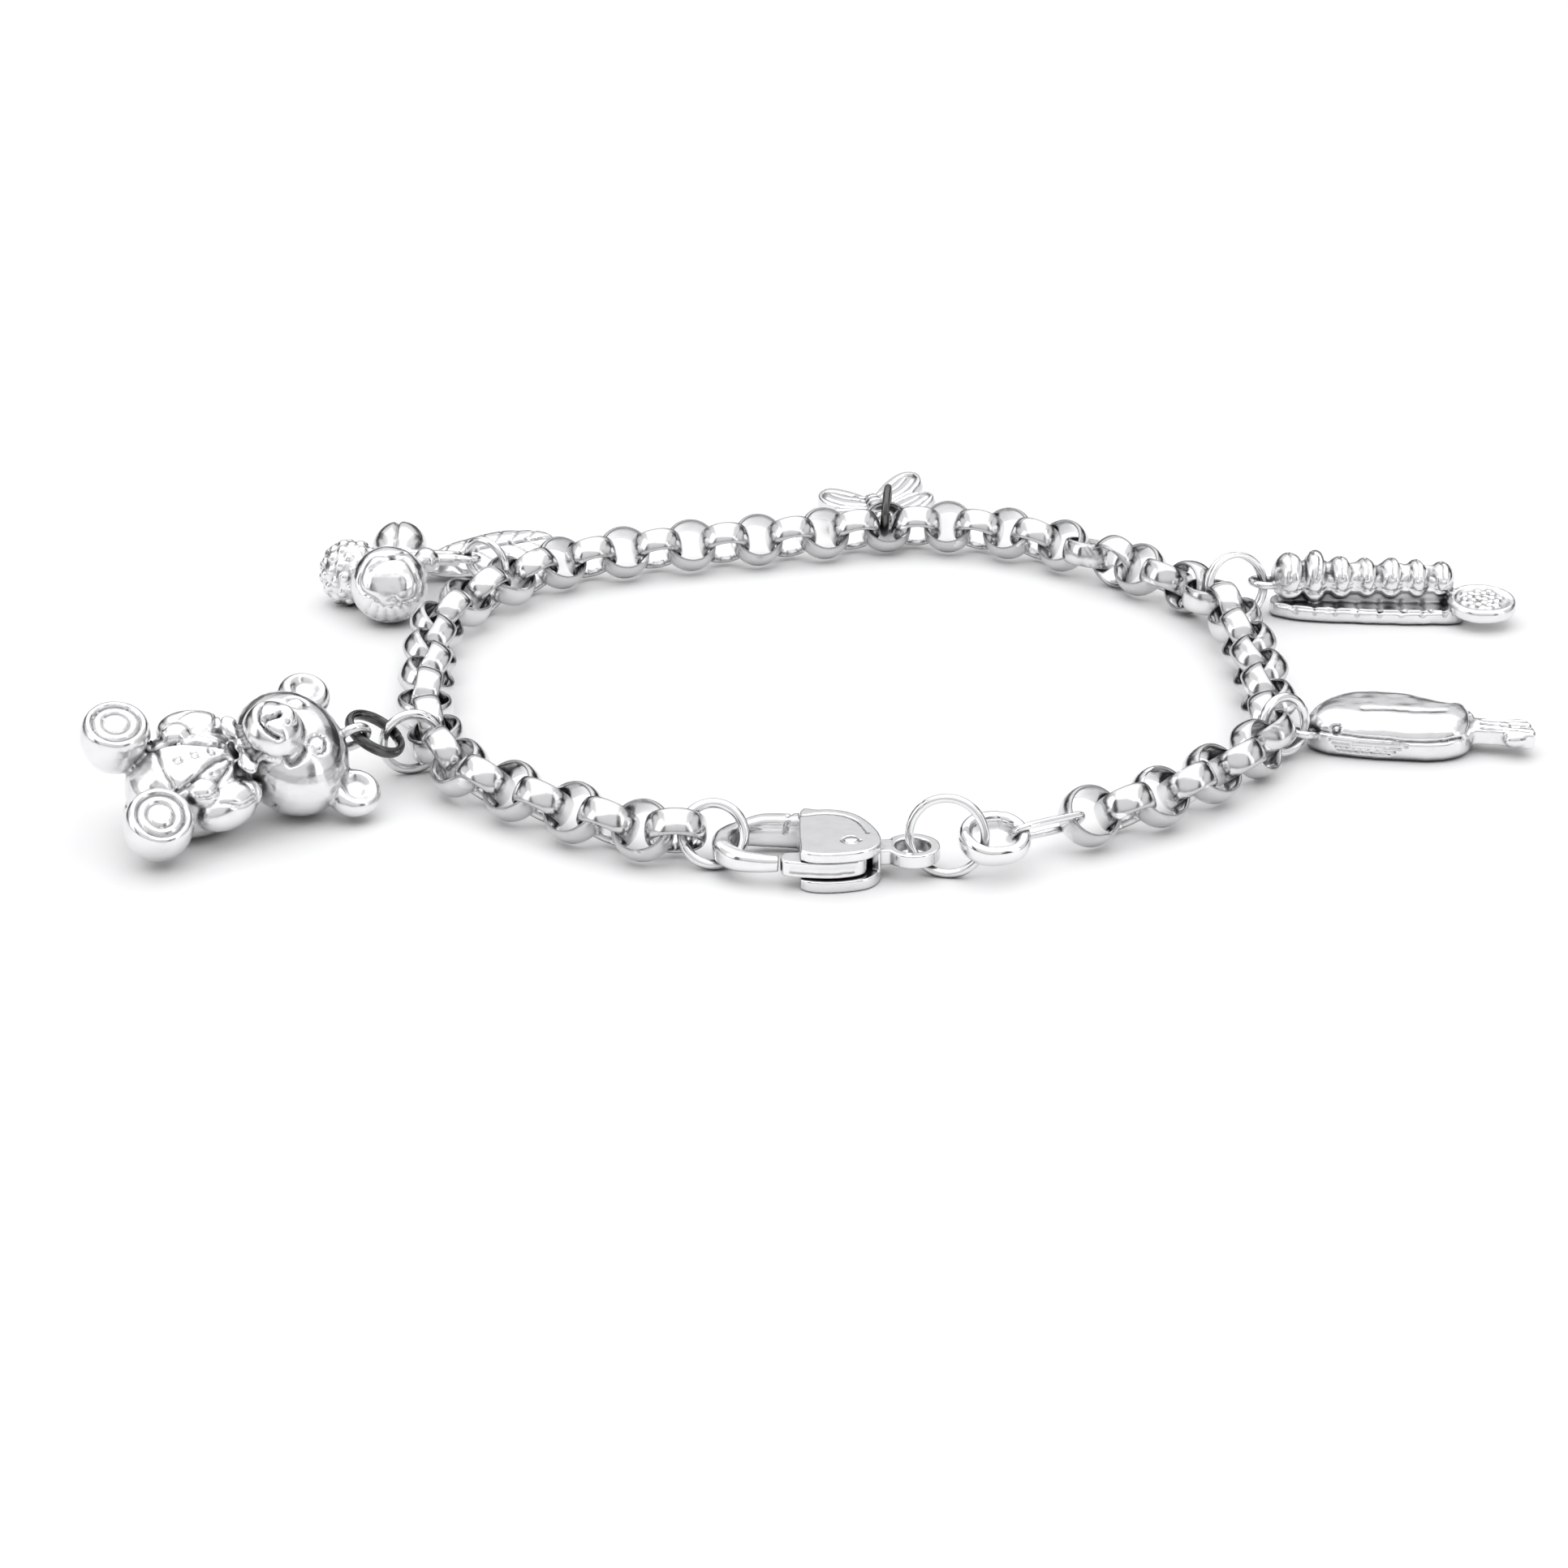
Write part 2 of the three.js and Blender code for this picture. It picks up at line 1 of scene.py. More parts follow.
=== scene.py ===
import bpy
import json
import math
import numpy as np
from mathutils import Vector, Matrix, Euler, Quaternion
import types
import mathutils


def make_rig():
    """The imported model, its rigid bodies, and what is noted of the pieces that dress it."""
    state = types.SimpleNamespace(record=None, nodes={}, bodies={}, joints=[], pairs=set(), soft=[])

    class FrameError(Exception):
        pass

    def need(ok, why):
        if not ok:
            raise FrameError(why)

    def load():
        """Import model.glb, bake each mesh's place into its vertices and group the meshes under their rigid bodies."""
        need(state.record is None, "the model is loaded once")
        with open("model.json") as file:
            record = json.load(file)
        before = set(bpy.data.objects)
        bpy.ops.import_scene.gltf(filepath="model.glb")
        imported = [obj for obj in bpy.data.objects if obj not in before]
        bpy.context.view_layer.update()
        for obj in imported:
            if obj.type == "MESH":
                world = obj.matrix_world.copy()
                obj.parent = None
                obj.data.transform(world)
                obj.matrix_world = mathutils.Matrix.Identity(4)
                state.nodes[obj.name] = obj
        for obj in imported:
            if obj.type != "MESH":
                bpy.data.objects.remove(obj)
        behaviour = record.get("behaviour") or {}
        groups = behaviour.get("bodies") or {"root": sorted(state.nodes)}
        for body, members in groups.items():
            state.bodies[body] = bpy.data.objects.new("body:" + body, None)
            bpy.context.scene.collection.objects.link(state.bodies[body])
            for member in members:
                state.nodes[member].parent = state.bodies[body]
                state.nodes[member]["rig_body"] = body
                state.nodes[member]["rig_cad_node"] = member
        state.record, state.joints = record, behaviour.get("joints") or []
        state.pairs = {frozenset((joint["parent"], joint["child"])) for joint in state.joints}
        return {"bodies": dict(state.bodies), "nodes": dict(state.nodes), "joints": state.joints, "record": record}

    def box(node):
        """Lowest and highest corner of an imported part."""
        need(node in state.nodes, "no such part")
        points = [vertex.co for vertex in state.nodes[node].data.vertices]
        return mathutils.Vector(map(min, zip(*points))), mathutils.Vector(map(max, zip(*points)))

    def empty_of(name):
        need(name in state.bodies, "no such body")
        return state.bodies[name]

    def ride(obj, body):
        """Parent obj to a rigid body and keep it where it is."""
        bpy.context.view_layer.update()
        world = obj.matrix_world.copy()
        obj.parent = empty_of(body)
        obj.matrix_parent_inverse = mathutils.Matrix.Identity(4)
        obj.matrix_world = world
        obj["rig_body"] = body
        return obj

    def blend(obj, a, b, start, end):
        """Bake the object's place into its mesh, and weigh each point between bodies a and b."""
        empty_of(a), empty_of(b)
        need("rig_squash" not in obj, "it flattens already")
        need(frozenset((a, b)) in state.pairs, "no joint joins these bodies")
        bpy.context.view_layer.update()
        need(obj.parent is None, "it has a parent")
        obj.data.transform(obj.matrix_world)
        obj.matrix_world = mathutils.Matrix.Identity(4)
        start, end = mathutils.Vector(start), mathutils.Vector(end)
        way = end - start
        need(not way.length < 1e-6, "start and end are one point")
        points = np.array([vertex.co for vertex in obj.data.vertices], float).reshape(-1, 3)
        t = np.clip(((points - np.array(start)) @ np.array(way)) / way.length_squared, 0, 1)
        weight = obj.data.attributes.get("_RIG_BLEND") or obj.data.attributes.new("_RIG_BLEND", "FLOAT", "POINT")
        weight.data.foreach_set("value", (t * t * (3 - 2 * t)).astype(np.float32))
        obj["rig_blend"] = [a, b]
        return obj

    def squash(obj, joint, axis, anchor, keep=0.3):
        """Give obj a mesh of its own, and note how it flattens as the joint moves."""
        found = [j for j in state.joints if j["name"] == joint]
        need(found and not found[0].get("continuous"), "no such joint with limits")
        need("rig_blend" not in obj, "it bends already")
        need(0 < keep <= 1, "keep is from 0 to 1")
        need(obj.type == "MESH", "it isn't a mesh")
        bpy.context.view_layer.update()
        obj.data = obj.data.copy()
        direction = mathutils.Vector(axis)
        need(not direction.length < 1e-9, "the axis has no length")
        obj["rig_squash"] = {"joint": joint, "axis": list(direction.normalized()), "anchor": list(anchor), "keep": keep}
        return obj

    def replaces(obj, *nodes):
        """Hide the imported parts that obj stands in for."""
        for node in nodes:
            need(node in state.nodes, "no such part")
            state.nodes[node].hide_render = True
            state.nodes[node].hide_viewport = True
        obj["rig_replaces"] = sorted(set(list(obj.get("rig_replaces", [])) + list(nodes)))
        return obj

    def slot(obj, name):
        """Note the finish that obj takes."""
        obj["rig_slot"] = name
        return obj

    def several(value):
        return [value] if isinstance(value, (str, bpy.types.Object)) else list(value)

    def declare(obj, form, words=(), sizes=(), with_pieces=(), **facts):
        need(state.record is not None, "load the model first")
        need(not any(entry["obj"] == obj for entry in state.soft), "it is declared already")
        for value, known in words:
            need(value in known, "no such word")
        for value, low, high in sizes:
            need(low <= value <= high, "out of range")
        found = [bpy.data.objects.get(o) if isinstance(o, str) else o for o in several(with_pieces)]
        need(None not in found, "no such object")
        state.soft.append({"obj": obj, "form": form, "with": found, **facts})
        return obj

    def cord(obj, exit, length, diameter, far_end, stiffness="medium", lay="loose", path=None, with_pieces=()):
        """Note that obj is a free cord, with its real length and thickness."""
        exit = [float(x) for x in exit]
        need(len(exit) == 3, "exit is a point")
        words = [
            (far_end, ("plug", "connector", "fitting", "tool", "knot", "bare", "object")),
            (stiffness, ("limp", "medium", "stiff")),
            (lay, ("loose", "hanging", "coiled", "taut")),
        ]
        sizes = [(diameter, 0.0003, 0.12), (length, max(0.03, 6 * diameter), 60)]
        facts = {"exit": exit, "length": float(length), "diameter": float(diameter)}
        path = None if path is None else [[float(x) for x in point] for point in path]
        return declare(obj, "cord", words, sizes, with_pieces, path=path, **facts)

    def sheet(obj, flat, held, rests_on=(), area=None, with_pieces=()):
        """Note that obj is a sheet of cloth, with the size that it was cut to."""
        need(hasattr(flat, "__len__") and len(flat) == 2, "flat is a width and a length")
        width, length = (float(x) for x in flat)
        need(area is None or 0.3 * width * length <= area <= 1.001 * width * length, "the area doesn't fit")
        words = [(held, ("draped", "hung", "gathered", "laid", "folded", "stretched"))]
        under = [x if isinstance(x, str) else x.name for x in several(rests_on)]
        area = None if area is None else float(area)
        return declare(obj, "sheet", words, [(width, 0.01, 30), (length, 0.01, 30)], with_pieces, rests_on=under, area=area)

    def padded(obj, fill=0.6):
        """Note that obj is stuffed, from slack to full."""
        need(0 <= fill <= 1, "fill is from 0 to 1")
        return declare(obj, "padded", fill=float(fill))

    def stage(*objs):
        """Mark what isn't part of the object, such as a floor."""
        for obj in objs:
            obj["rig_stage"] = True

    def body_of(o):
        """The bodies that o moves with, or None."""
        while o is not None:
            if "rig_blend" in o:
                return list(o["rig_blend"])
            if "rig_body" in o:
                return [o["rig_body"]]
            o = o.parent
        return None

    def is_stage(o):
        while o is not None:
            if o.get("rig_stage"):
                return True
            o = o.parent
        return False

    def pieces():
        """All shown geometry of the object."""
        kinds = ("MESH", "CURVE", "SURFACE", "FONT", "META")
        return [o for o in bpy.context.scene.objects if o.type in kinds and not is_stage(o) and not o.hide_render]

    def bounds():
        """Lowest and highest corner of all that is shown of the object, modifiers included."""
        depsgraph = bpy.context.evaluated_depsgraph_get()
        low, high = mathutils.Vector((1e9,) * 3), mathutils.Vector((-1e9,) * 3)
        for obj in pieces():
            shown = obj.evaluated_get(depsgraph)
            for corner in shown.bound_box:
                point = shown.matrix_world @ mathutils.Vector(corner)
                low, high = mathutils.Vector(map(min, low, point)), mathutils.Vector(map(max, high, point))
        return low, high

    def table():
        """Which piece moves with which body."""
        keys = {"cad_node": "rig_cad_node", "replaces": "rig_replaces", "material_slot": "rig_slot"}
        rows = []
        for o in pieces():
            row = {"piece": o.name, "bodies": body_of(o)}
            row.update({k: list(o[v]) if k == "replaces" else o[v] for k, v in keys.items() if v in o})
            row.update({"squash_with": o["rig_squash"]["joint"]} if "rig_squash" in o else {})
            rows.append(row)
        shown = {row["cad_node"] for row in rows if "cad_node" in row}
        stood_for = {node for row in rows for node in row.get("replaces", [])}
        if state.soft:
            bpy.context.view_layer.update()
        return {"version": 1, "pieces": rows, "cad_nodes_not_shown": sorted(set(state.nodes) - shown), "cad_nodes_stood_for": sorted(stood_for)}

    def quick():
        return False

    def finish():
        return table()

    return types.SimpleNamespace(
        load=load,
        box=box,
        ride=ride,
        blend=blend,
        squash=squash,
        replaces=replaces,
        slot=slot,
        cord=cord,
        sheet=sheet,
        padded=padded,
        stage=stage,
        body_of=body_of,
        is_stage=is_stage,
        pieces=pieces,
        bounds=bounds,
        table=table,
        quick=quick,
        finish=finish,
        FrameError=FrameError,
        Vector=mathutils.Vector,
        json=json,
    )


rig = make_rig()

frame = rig.load()
SIZE_BEFORE = [list(v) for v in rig.bounds()]

# All builders below work in millimetres, in the layout's own axes (x right,
# y away, z up from the surface). SHIFT brings them to the row frame.
SHIFT = np.array([-4.67, -19.82, 0.0])
MM = 0.001
RNG = np.random.default_rng(7)
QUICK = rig.quick() if callable(getattr(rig, "quick", None)) else False


# ---------------------------------------------------------------- materials
def nodes_of(mat):
    mat.use_nodes = True
    nt = mat.node_tree
    return nt, nt.nodes, nt.links


def silver(name, bright, dull, dark, rough, feature=0.00045, bump=0.15, crevice=1.0, dents=0.0, reach=0.0007, low=0.30, high=0.80):
    """Polished silver: bright skin, duller where handled, fine hairlines, and painted shade, partly tarnish, darkening
    the crevices and the gaps between parts.
    """
    mat = bpy.data.materials.new(name)
    nt, N, L = nodes_of(mat)
    bsdf = N["Principled BSDF"]
    bsdf.inputs["Metallic"].default_value = 1.0
    tc = N.new("ShaderNodeTexCoord")

    def noise(scale, detail, rough_=0.5, stretch=None):
        n = N.new("ShaderNodeTexNoise")
        n.inputs["Scale"].default_value = scale
        n.inputs["Detail"].default_value = detail
        n.inputs["Roughness"].default_value = rough_
        if stretch:
            m = N.new("ShaderNodeMapping")
            m.inputs["Scale"].default_value = stretch
            m.inputs["Rotation"].default_value = (0.3, 0.5, 0.7)
            L.new(tc.outputs["Object"], m.inputs["Vector"])
            L.new(m.outputs["Vector"], n.inputs["Vector"])
        else:
            L.new(tc.outputs["Object"], n.inputs["Vector"])
        return n

    def ramp(src, a, b, ca=(0, 0, 0, 1), cb=(1, 1, 1, 1)):
        r = N.new("ShaderNodeValToRGB")
        r.color_ramp.elements[0].position = a
        r.color_ramp.elements[0].color = ca
        r.color_ramp.elements[1].position = b
        r.color_ramp.elements[1].color = cb
        L.new(src, r.inputs["Fac"])
        return r

    def mix(fac, a, b, blend="MIX"):
        m = N.new("ShaderNodeMix")
        m.data_type = "RGBA"
        m.blend_type = blend
        for sock, val in ((m.inputs["Factor"], fac), (m.inputs[6], a), (m.inputs[7], b)):
            if isinstance(val, bpy.types.NodeSocket):
                L.new(val, sock)
            else:
                sock.default_value = val
        return m.outputs[2]

    def math_(op, a, b=None):
        m = N.new("ShaderNodeMath")
        m.operation = op
        for i, val in enumerate((a, b)):
            if val is None:
                continue
            if isinstance(val, bpy.types.NodeSocket):
                L.new(val, m.inputs[i])
            else:
                m.inputs[i].default_value = val
        return m.outputs[0]

    # shut-in places, near surfaces all round, get painted shade, partly tarnish
    ao = N.new("ShaderNodeAmbientOcclusion")
    ao.samples = 6
    ao.inputs["Distance"].default_value = reach
    gap_shade_and_tarnish = ramp(ao.outputs["AO"], low, high, (1, 1, 1, 1), (0, 0, 0, 1))
    # grooves, from the mesh's own curvature, get painted shade, partly tarnish
    geo = N.new("ShaderNodeNewGeometry")
    groove_shade_and_tarnish = ramp(geo.outputs["Pointiness"], 0.425, 0.492, (1, 1, 1, 1), (0, 0, 0, 1))
    worn = ramp(geo.outputs["Pointiness"], 0.52, 0.60)
    patch = noise(0.35 / feature, 4.0, 0.55)
    patchy = ramp(patch.outputs["Fac"], 0.35, 0.72)
    # painted shade, partly tarnish: the occlusion mask and the groove mask together
    shade_and_tarnish = math_("MAXIMUM", gap_shade_and_tarnish.outputs["Color"], groove_shade_and_tarnish.outputs["Color"])
    shade_and_tarnish = math_("MULTIPLY", shade_and_tarnish, crevice)
    skin = mix(math_("MULTIPLY", patchy.outputs["Color"], 0.55), (*bright, 1), (*dull, 1))
    skin = mix(math_("MULTIPLY", worn.outputs["Color"], 0.6), skin, (min(1, bright[0] * 1.03), min(1, bright[1] * 1.03), min(1, bright[2] * 1.03), 1))
    # the base colour goes to the dark colour where the painted shade and tarnish mask is high
    col = mix(shade_and_tarnish, skin, (*dark, 1))
    L.new(col, bsdf.inputs["Base Color"])

    hair = noise(1.0 / feature, 3.0, 0.6, (0.25, 6.0, 6.0))
    hairline = ramp(hair.outputs["Fac"], 0.45, 0.8)
    r1 = math_("MULTIPLY", hairline.outputs["Color"], 0.10)
    r2 = math_("MULTIPLY", shade_and_tarnish, 0.34)
    r3 = math_("MULTIPLY", patchy.outputs["Color"], 0.07)
    rr = math_("ADD", math_("ADD", r1, r2), math_("ADD", r3, rough))
    L.new(rr, bsdf.inputs["Roughness"])

    fine = noise(2.2 / feature, 4.0, 0.65)
    b1 = N.new("ShaderNodeBump")
    b1.inputs["Strength"].default_value = bump
    b1.inputs["Distance"].default_value = 0.000012
    L.new(math_("ADD", math_("MULTIPLY", fine.outputs["Fac"], 0.6), math_("MULTIPLY", hair.outputs["Fac"], 0.4)), b1.inputs["Height"])
    last = b1
    if dents > 0:
        soft = noise(0.45 / feature, 2.0, 0.5)
        b2 = N.new("ShaderNodeBump")
        b2.inputs["Strength"].default_value = dents
        b2.inputs["Distance"].default_value = 0.00008
        L.new(soft.outputs["Fac"], b2.inputs["Height"])
        L.new(b1.outputs["Normal"], b2.inputs["Normal"])
        last = b2
    L.new(last.outputs["Normal"], bsdf.inputs["Normal"])
    return mat


CHAIN = silver("chain_silver", (0.90, 0.90, 0.905), (0.80, 0.80, 0.81), (0.035, 0.035, 0.037), 0.07, bump=0.12, dents=0.25, reach=0.0007, low=0.22, high=0.78)
POLISHED = silver("polished_silver", (0.88, 0.88, 0.885), (0.78, 0.78, 0.79), (0.04, 0.04, 0.042), 0.10, bump=0.15, dents=0.30)
CLASP = silver("clasp_silver", (0.88, 0.88, 0.885), (0.79, 0.79, 0.80), (0.05, 0.05, 0.052), 0.12, bump=0.15, dents=0.25, reach=0.0022, low=0.16, high=0.55)
DARK = silver("dark_silver", (0.15, 0.149, 0.147), (0.045, 0.0445, 0.044), (0.012, 0.012, 0.013), 0.16, bump=0.35, dents=0.4)
CAST = silver("cast_silver", (0.86, 0.86, 0.865), (0.73, 0.73, 0.74), (0.025, 0.025, 0.027), 0.17, feature=0.0006, bump=0.22, crevice=1.0, dents=0.5, reach=0.0009, low=0.30, high=0.78)


# ---------------------------------------------------------------- meshes
def merge(parts):
    vs, fs, k = [], [], 0
    for v, f in parts:
        vs.append(np.asarray(v, float))
        fs.extend([[i + k for i in face] for face in f])
        k += len(v)
    return np.vstack(vs), fs


def to_object(name, v, f, mat, shift=True, smooth=True):
    me = bpy.data.meshes.new(name)
    vv = (np.asarray(v, float) + (SHIFT if shift else 0.0)) * MM
    me.from_pydata(vv.tolist(), [], f)
    me.validate()
    me.update()
    if smooth:
        me.polygons.foreach_set("use_smooth", [True] * len(me.polygons))
    ob = bpy.data.objects.new(name, me)
    bpy.context.scene.collection.objects.link(ob)
    if mat:
        me.materials.append(mat)
    return ob


def basis(c, x_axis, n):
    """4x4 with local z = n and local x near x_axis."""
    z = Vector(n).normalized()
    x = Vector(x_axis)
    if abs(z.dot(x.normalized())) > 0.99:
        x = Vector((1, 0, 0))
    x = (x - z * x.dot(z)).normalized()
    y = z.cross(x)
    m = Matrix((x, y, z)).transposed().to_4x4()
    m.translation = Vector(c)
    return np.array(m)


def apply(m, v):
    v = np.asarray(v, float)
    return v @ np.asarray(m)[:3, :3].T + np.asarray(m)[:3, 3]


def loft(rows, closed_rows=True, closed_ring=True):
    """Faces over a grid of points: rows x points, wrapped as asked."""
    rows = np.asarray(rows, float)
    nr, nc = rows.shape[:2]
    f = []
    for i in range(nr if closed_rows else nr - 1):
        for j in range(nc if closed_ring else nc - 1):
            a, b = i, (i + 1) % nr
            c, d = j, (j + 1) % nc
            f.append([a * nc + c, b * nc + c, b * nc + d, a * nc + d])
    if not closed_rows:
        f.append([j for j in range(nc)])
        f.append([(nr - 1) * nc + j for j in reversed(range(nc))])
    return rows.reshape(-1, 3), f


def lathe(profile, segments):
    """A closed or pole-to-pole profile of (r, z) turned about local z."""
    p = np.asarray(profile, float)
    a = np.linspace(0, 2 * math.pi, segments, endpoint=False)
    rows = [[(r * math.cos(t), r * math.sin(t), z) for r, z in p] for t in a]
    return loft(rows)


def wire_ring(c, n, R, wire, along=(0, 0, 1), stretch=1.0, seam=0.0, seg=112, sides=22, seed=0, flat=0.0, wave=0.0, seam_cut=0.12, deep=1.0):
    """A jump ring: round wire bent into a ring, its two ends meeting at a fine seam."""
    rows = []
    rng = np.random.default_rng(seed)
    ph = rng.uniform(0, 6.28, 3)
    for i in range(seg):
        t = 2 * math.pi * i / seg
        cx, cy = R * math.cos(t), R * math.sin(t)
        if stretch != 1:
            cx += math.copysign((stretch - 1) * R * min(1.0, abs(cx) / (0.35 * R)), cx)
        d = math.atan2(math.sin(t - seam), math.cos(t - seam)) * R
        w = wire * (1 - seam_cut * math.exp(-(d / 0.07) ** 2)) * (1 + 0.010 * math.sin(3 * t + ph[0]) + 0.006 * math.sin(7 * t + ph[1]))
        off = wave * math.sin(t - seam) * 0.5
        rad = Vector((math.cos(t), math.sin(t), 0))
        row = []
        for k in range(sides):
            u = 2 * math.pi * k / sides
            cu, su = math.cos(u), math.sin(u)
            if flat:
                cu = math.copysign(abs(cu) ** (1 - flat), cu)
                su = math.copysign(abs(su) ** (1 - flat), su)
            row.append((cx + rad.x * w * cu, cy + rad.y * w * cu, w * deep * su + off))
        rows.append(row)
    v, f = loft(rows)
    return apply(basis(c, along, n), v), f


def ball(at, r, rot=(0, 0, 0), seg=32, rings=18):
    r = (r, r, r) if not hasattr(r, "__len__") else r
    v, f = [], []
    v.append((0, 0, 1))
    for i in range(1, rings):
        th = math.pi * i / rings
        for j in range(seg):
            ph = 2 * math.pi * j / seg
            v.append((math.sin(th) * math.cos(ph), math.sin(th) * math.sin(ph), math.cos(th)))
    v.append((0, 0, -1))
    for j in range(seg):
        f.append([0, 1 + j, 1 + (j + 1) % seg])
    for i in range(rings - 2):
        for j in range(seg):
            a, b = 1 + i * seg + j, 1 + i * seg + (j + 1) % seg
            f.append([a, a + seg, b + seg, b])
    last = len(v) - 1
    for j in range(seg):
        a, b = 1 + (rings - 2) * seg + j, 1 + (rings - 2) * seg + (j + 1) % seg
        f.append([last, b, a])
    e = Euler([math.radians(x) for x in rot], "XYZ")
    m = np.array((Matrix.Translation(Vector(at)) @ e.to_matrix().to_4x4() @ Matrix.Diagonal((*r, 1))))
    return apply(m, v), f


def catmull(points, n):
    p = np.asarray(points, float)
    p = np.vstack([2 * p[0] - p[1], p, 2 * p[-1] - p[-2]])
    out = []
    segs = len(p) - 3
    for i in range(n + 1):
        s = i / n * segs
        k = min(int(s), segs - 1)
        t = s - k
        a, b, c, d = p[k], p[k + 1], p[k + 2], p[k + 3]
        out.append(0.5 * ((2 * b) + (c - a) * t + (2 * a - 5 * b + 4 * c - d) * t * t + (3 * b - a - 3 * c + d) * t ** 3))
    return np.array(out)


def tube(points, radius, n=40, sides=18, up=(0, 0, 1), tall=1.0, square=0.0, ends=0.0):
    """A bar along a curve. radius may be a list, one for each control point."""
    c = catmull(points, n)
    if hasattr(radius, "__len__"):
        xs = np.linspace(0, 1, len(radius))
        rs = np.interp(np.linspace(0, 1, n + 1), xs, radius)
    else:
        rs = np.full(n + 1, float(radius))
    rows = []
    upv = Vector(up)
    for i in range(n + 1):
        t = Vector(c[min(i + 1, n)] - c[max(i - 1, 0)]).normalized()
        side = t.cross(upv)
        side = side.normalized() if side.length > 1e-6 else Vector((1, 0, 0))
        u2 = side.cross(t).normalized()
        r = rs[i]
        if ends:
            e = min(i, n - i) / n
            r = r * math.sqrt(max(0.02, 1 - max(0.0, 1 - e / ends) ** 2))
        row = []
        for k in range(sides):
            a = 2 * math.pi * k / sides
            cu, su = math.cos(a), math.sin(a)
            if square:
                cu = math.copysign(abs(cu) ** (1 - square), cu)
                su = math.copysign(abs(su) ** (1 - square), su)
            row.append(c[i] + np.array(side) * r * cu + np.array(u2) * r * tall * su)
        rows.append(row)
    return loft(rows, closed_rows=False)


def plate(points, z0, z1, bevel=0.0, round_=0):
    """An outline in x, y between two heights, its edges eased by bevel."""
    p = np.asarray(points, float)
    if round_:
        n = len(p)
        q = []
        for i in range(n):
            a, b, c, d = p[i - 1], p[i], p[(i + 1) % n], p[(i + 2) % n]
            for k in range(round_):
                t = k / round_
                q.append(0.5 * ((2 * b) + (c - a) * t + (2 * a - 5 * b + 4 * c - d) * t * t + (3 * b - a - 3 * c + d) * t ** 3))
        p = np.array(q)
    area = 0.5 * np.sum(p[:, 0] * np.roll(p[:, 1], -1) - np.roll(p[:, 0], -1) * p[:, 1])
    if area < 0:
        p = p[::-1]
    nxt, prv = np.roll(p, -1, 0), np.roll(p, 1, 0)
    tan = nxt - prv
    tan /= np.maximum(1e-9, np.linalg.norm(tan, axis=1))[:, None]
    nor = np.stack([tan[:, 1], -tan[:, 0]], 1)
    rows = []
    steps = [(bevel, z0), (bevel * 0.3, z0 + bevel * 0.3), (0, z0 + bevel), (0, z1 - bevel), (bevel * 0.3, z1 - bevel * 0.3), (bevel, z1)] if bevel else [(0, z0), (0, z1)]
    for inset, z in steps:
        q = p - nor * inset
        rows.append(np.column_stack([q, np.full(len(q), z)]))
    v, f = loft(rows, closed_rows=False)
    return v, f


def pillow(points, z0, zb, zt, z1, low, high, round_=4, levels=9):
    """An outline whose edges roll in: by low under zb, by high over zt."""
    v0, _ = plate(points, 0, 1, 0, round_)
    n = len(v0) // 2
    p = v0[:n, :2]
    nxt, prv = np.roll(p, -1, 0), np.roll(p, 1, 0)
    tan = nxt - prv
    tan /= np.maximum(1e-9, np.linalg.norm(tan, axis=1))[:, None]
    nor = np.stack([tan[:, 1], -tan[:, 0]], 1)
    rows = []
    for k in range(levels + 1):
        a = math.pi / 2 * k / levels
        rows.append(np.column_stack([p - nor * low * (1 - math.sin(a)), np.full(n, zb - (zb - z0) * math.cos(a))]))
    for k in range(levels + 1):
        a = math.pi / 2 * k / levels
        rows.append(np.column_stack([p - nor * high * (1 - math.cos(a)), np.full(n, zt + (z1 - zt) * math.sin(a))]))
    return loft(rows, closed_rows=False)


# ---------------------------------------------------------------- castings
def cast(name, parts, voxel, mat, smooth=4, passes=(), transform=None, lift=None):
    """Fuses closed parts into one skin, softens the joins, then works each pass into it.
    A pass takes (points, normals) in local mm and gives how far each point moves along its normal."""
    v, f = merge(parts)
    me = bpy.data.meshes.new(name + "_raw")
    me.from_pydata(v.tolist(), [], f)
    ob = bpy.data.objects.new(name + "_raw", me)
    bpy.context.scene.collection.objects.link(ob)
    md = ob.modifiers.new("fuse", "REMESH")
    md.mode = "VOXEL"
    md.voxel_size = voxel
    sm = ob.modifiers.new("soften", "SMOOTH")
    sm.factor = 0.5
    sm.iterations = smooth
    dg = bpy.context.evaluated_depsgraph_get()
    ev = ob.evaluated_get(dg)
    out = bpy.data.meshes.new_from_object(ev)
    bpy.data.objects.remove(ob)
    bpy.data.meshes.remove(me)
    n = len(out.vertices)
    co = np.empty(n * 3)
    out.vertices.foreach_get("co", co)
    co = co.reshape(-1, 3)
    for p in passes:
        no = np.empty(n * 3)
        out.vertex_normals.foreach_get("vector", no) if hasattr(out, "vertex_normals") else out.vertices.foreach_get("normal", no)
        no = no.reshape(-1, 3)
        co = co + no * p(co, no)[:, None]
        out.vertices.foreach_set("co", co.ravel())
        out.update()
    if transform is not None:
        co = apply(transform, co)
    if lift is not None:
        co = co + np.array([0, 0, lift - co[:, 2].min()])
    co = (co + SHIFT) * MM
    out.vertices.foreach_set("co", co.ravel())
    out.polygons.foreach_set("use_smooth", [True] * len(out.polygons))
    out.update()
    out.name = name
    out.materials.clear()
    out.materials.append(mat)
    o = bpy.data.objects.new(name, out)
    bpy.context.scene.collection.objects.link(o)
    return o


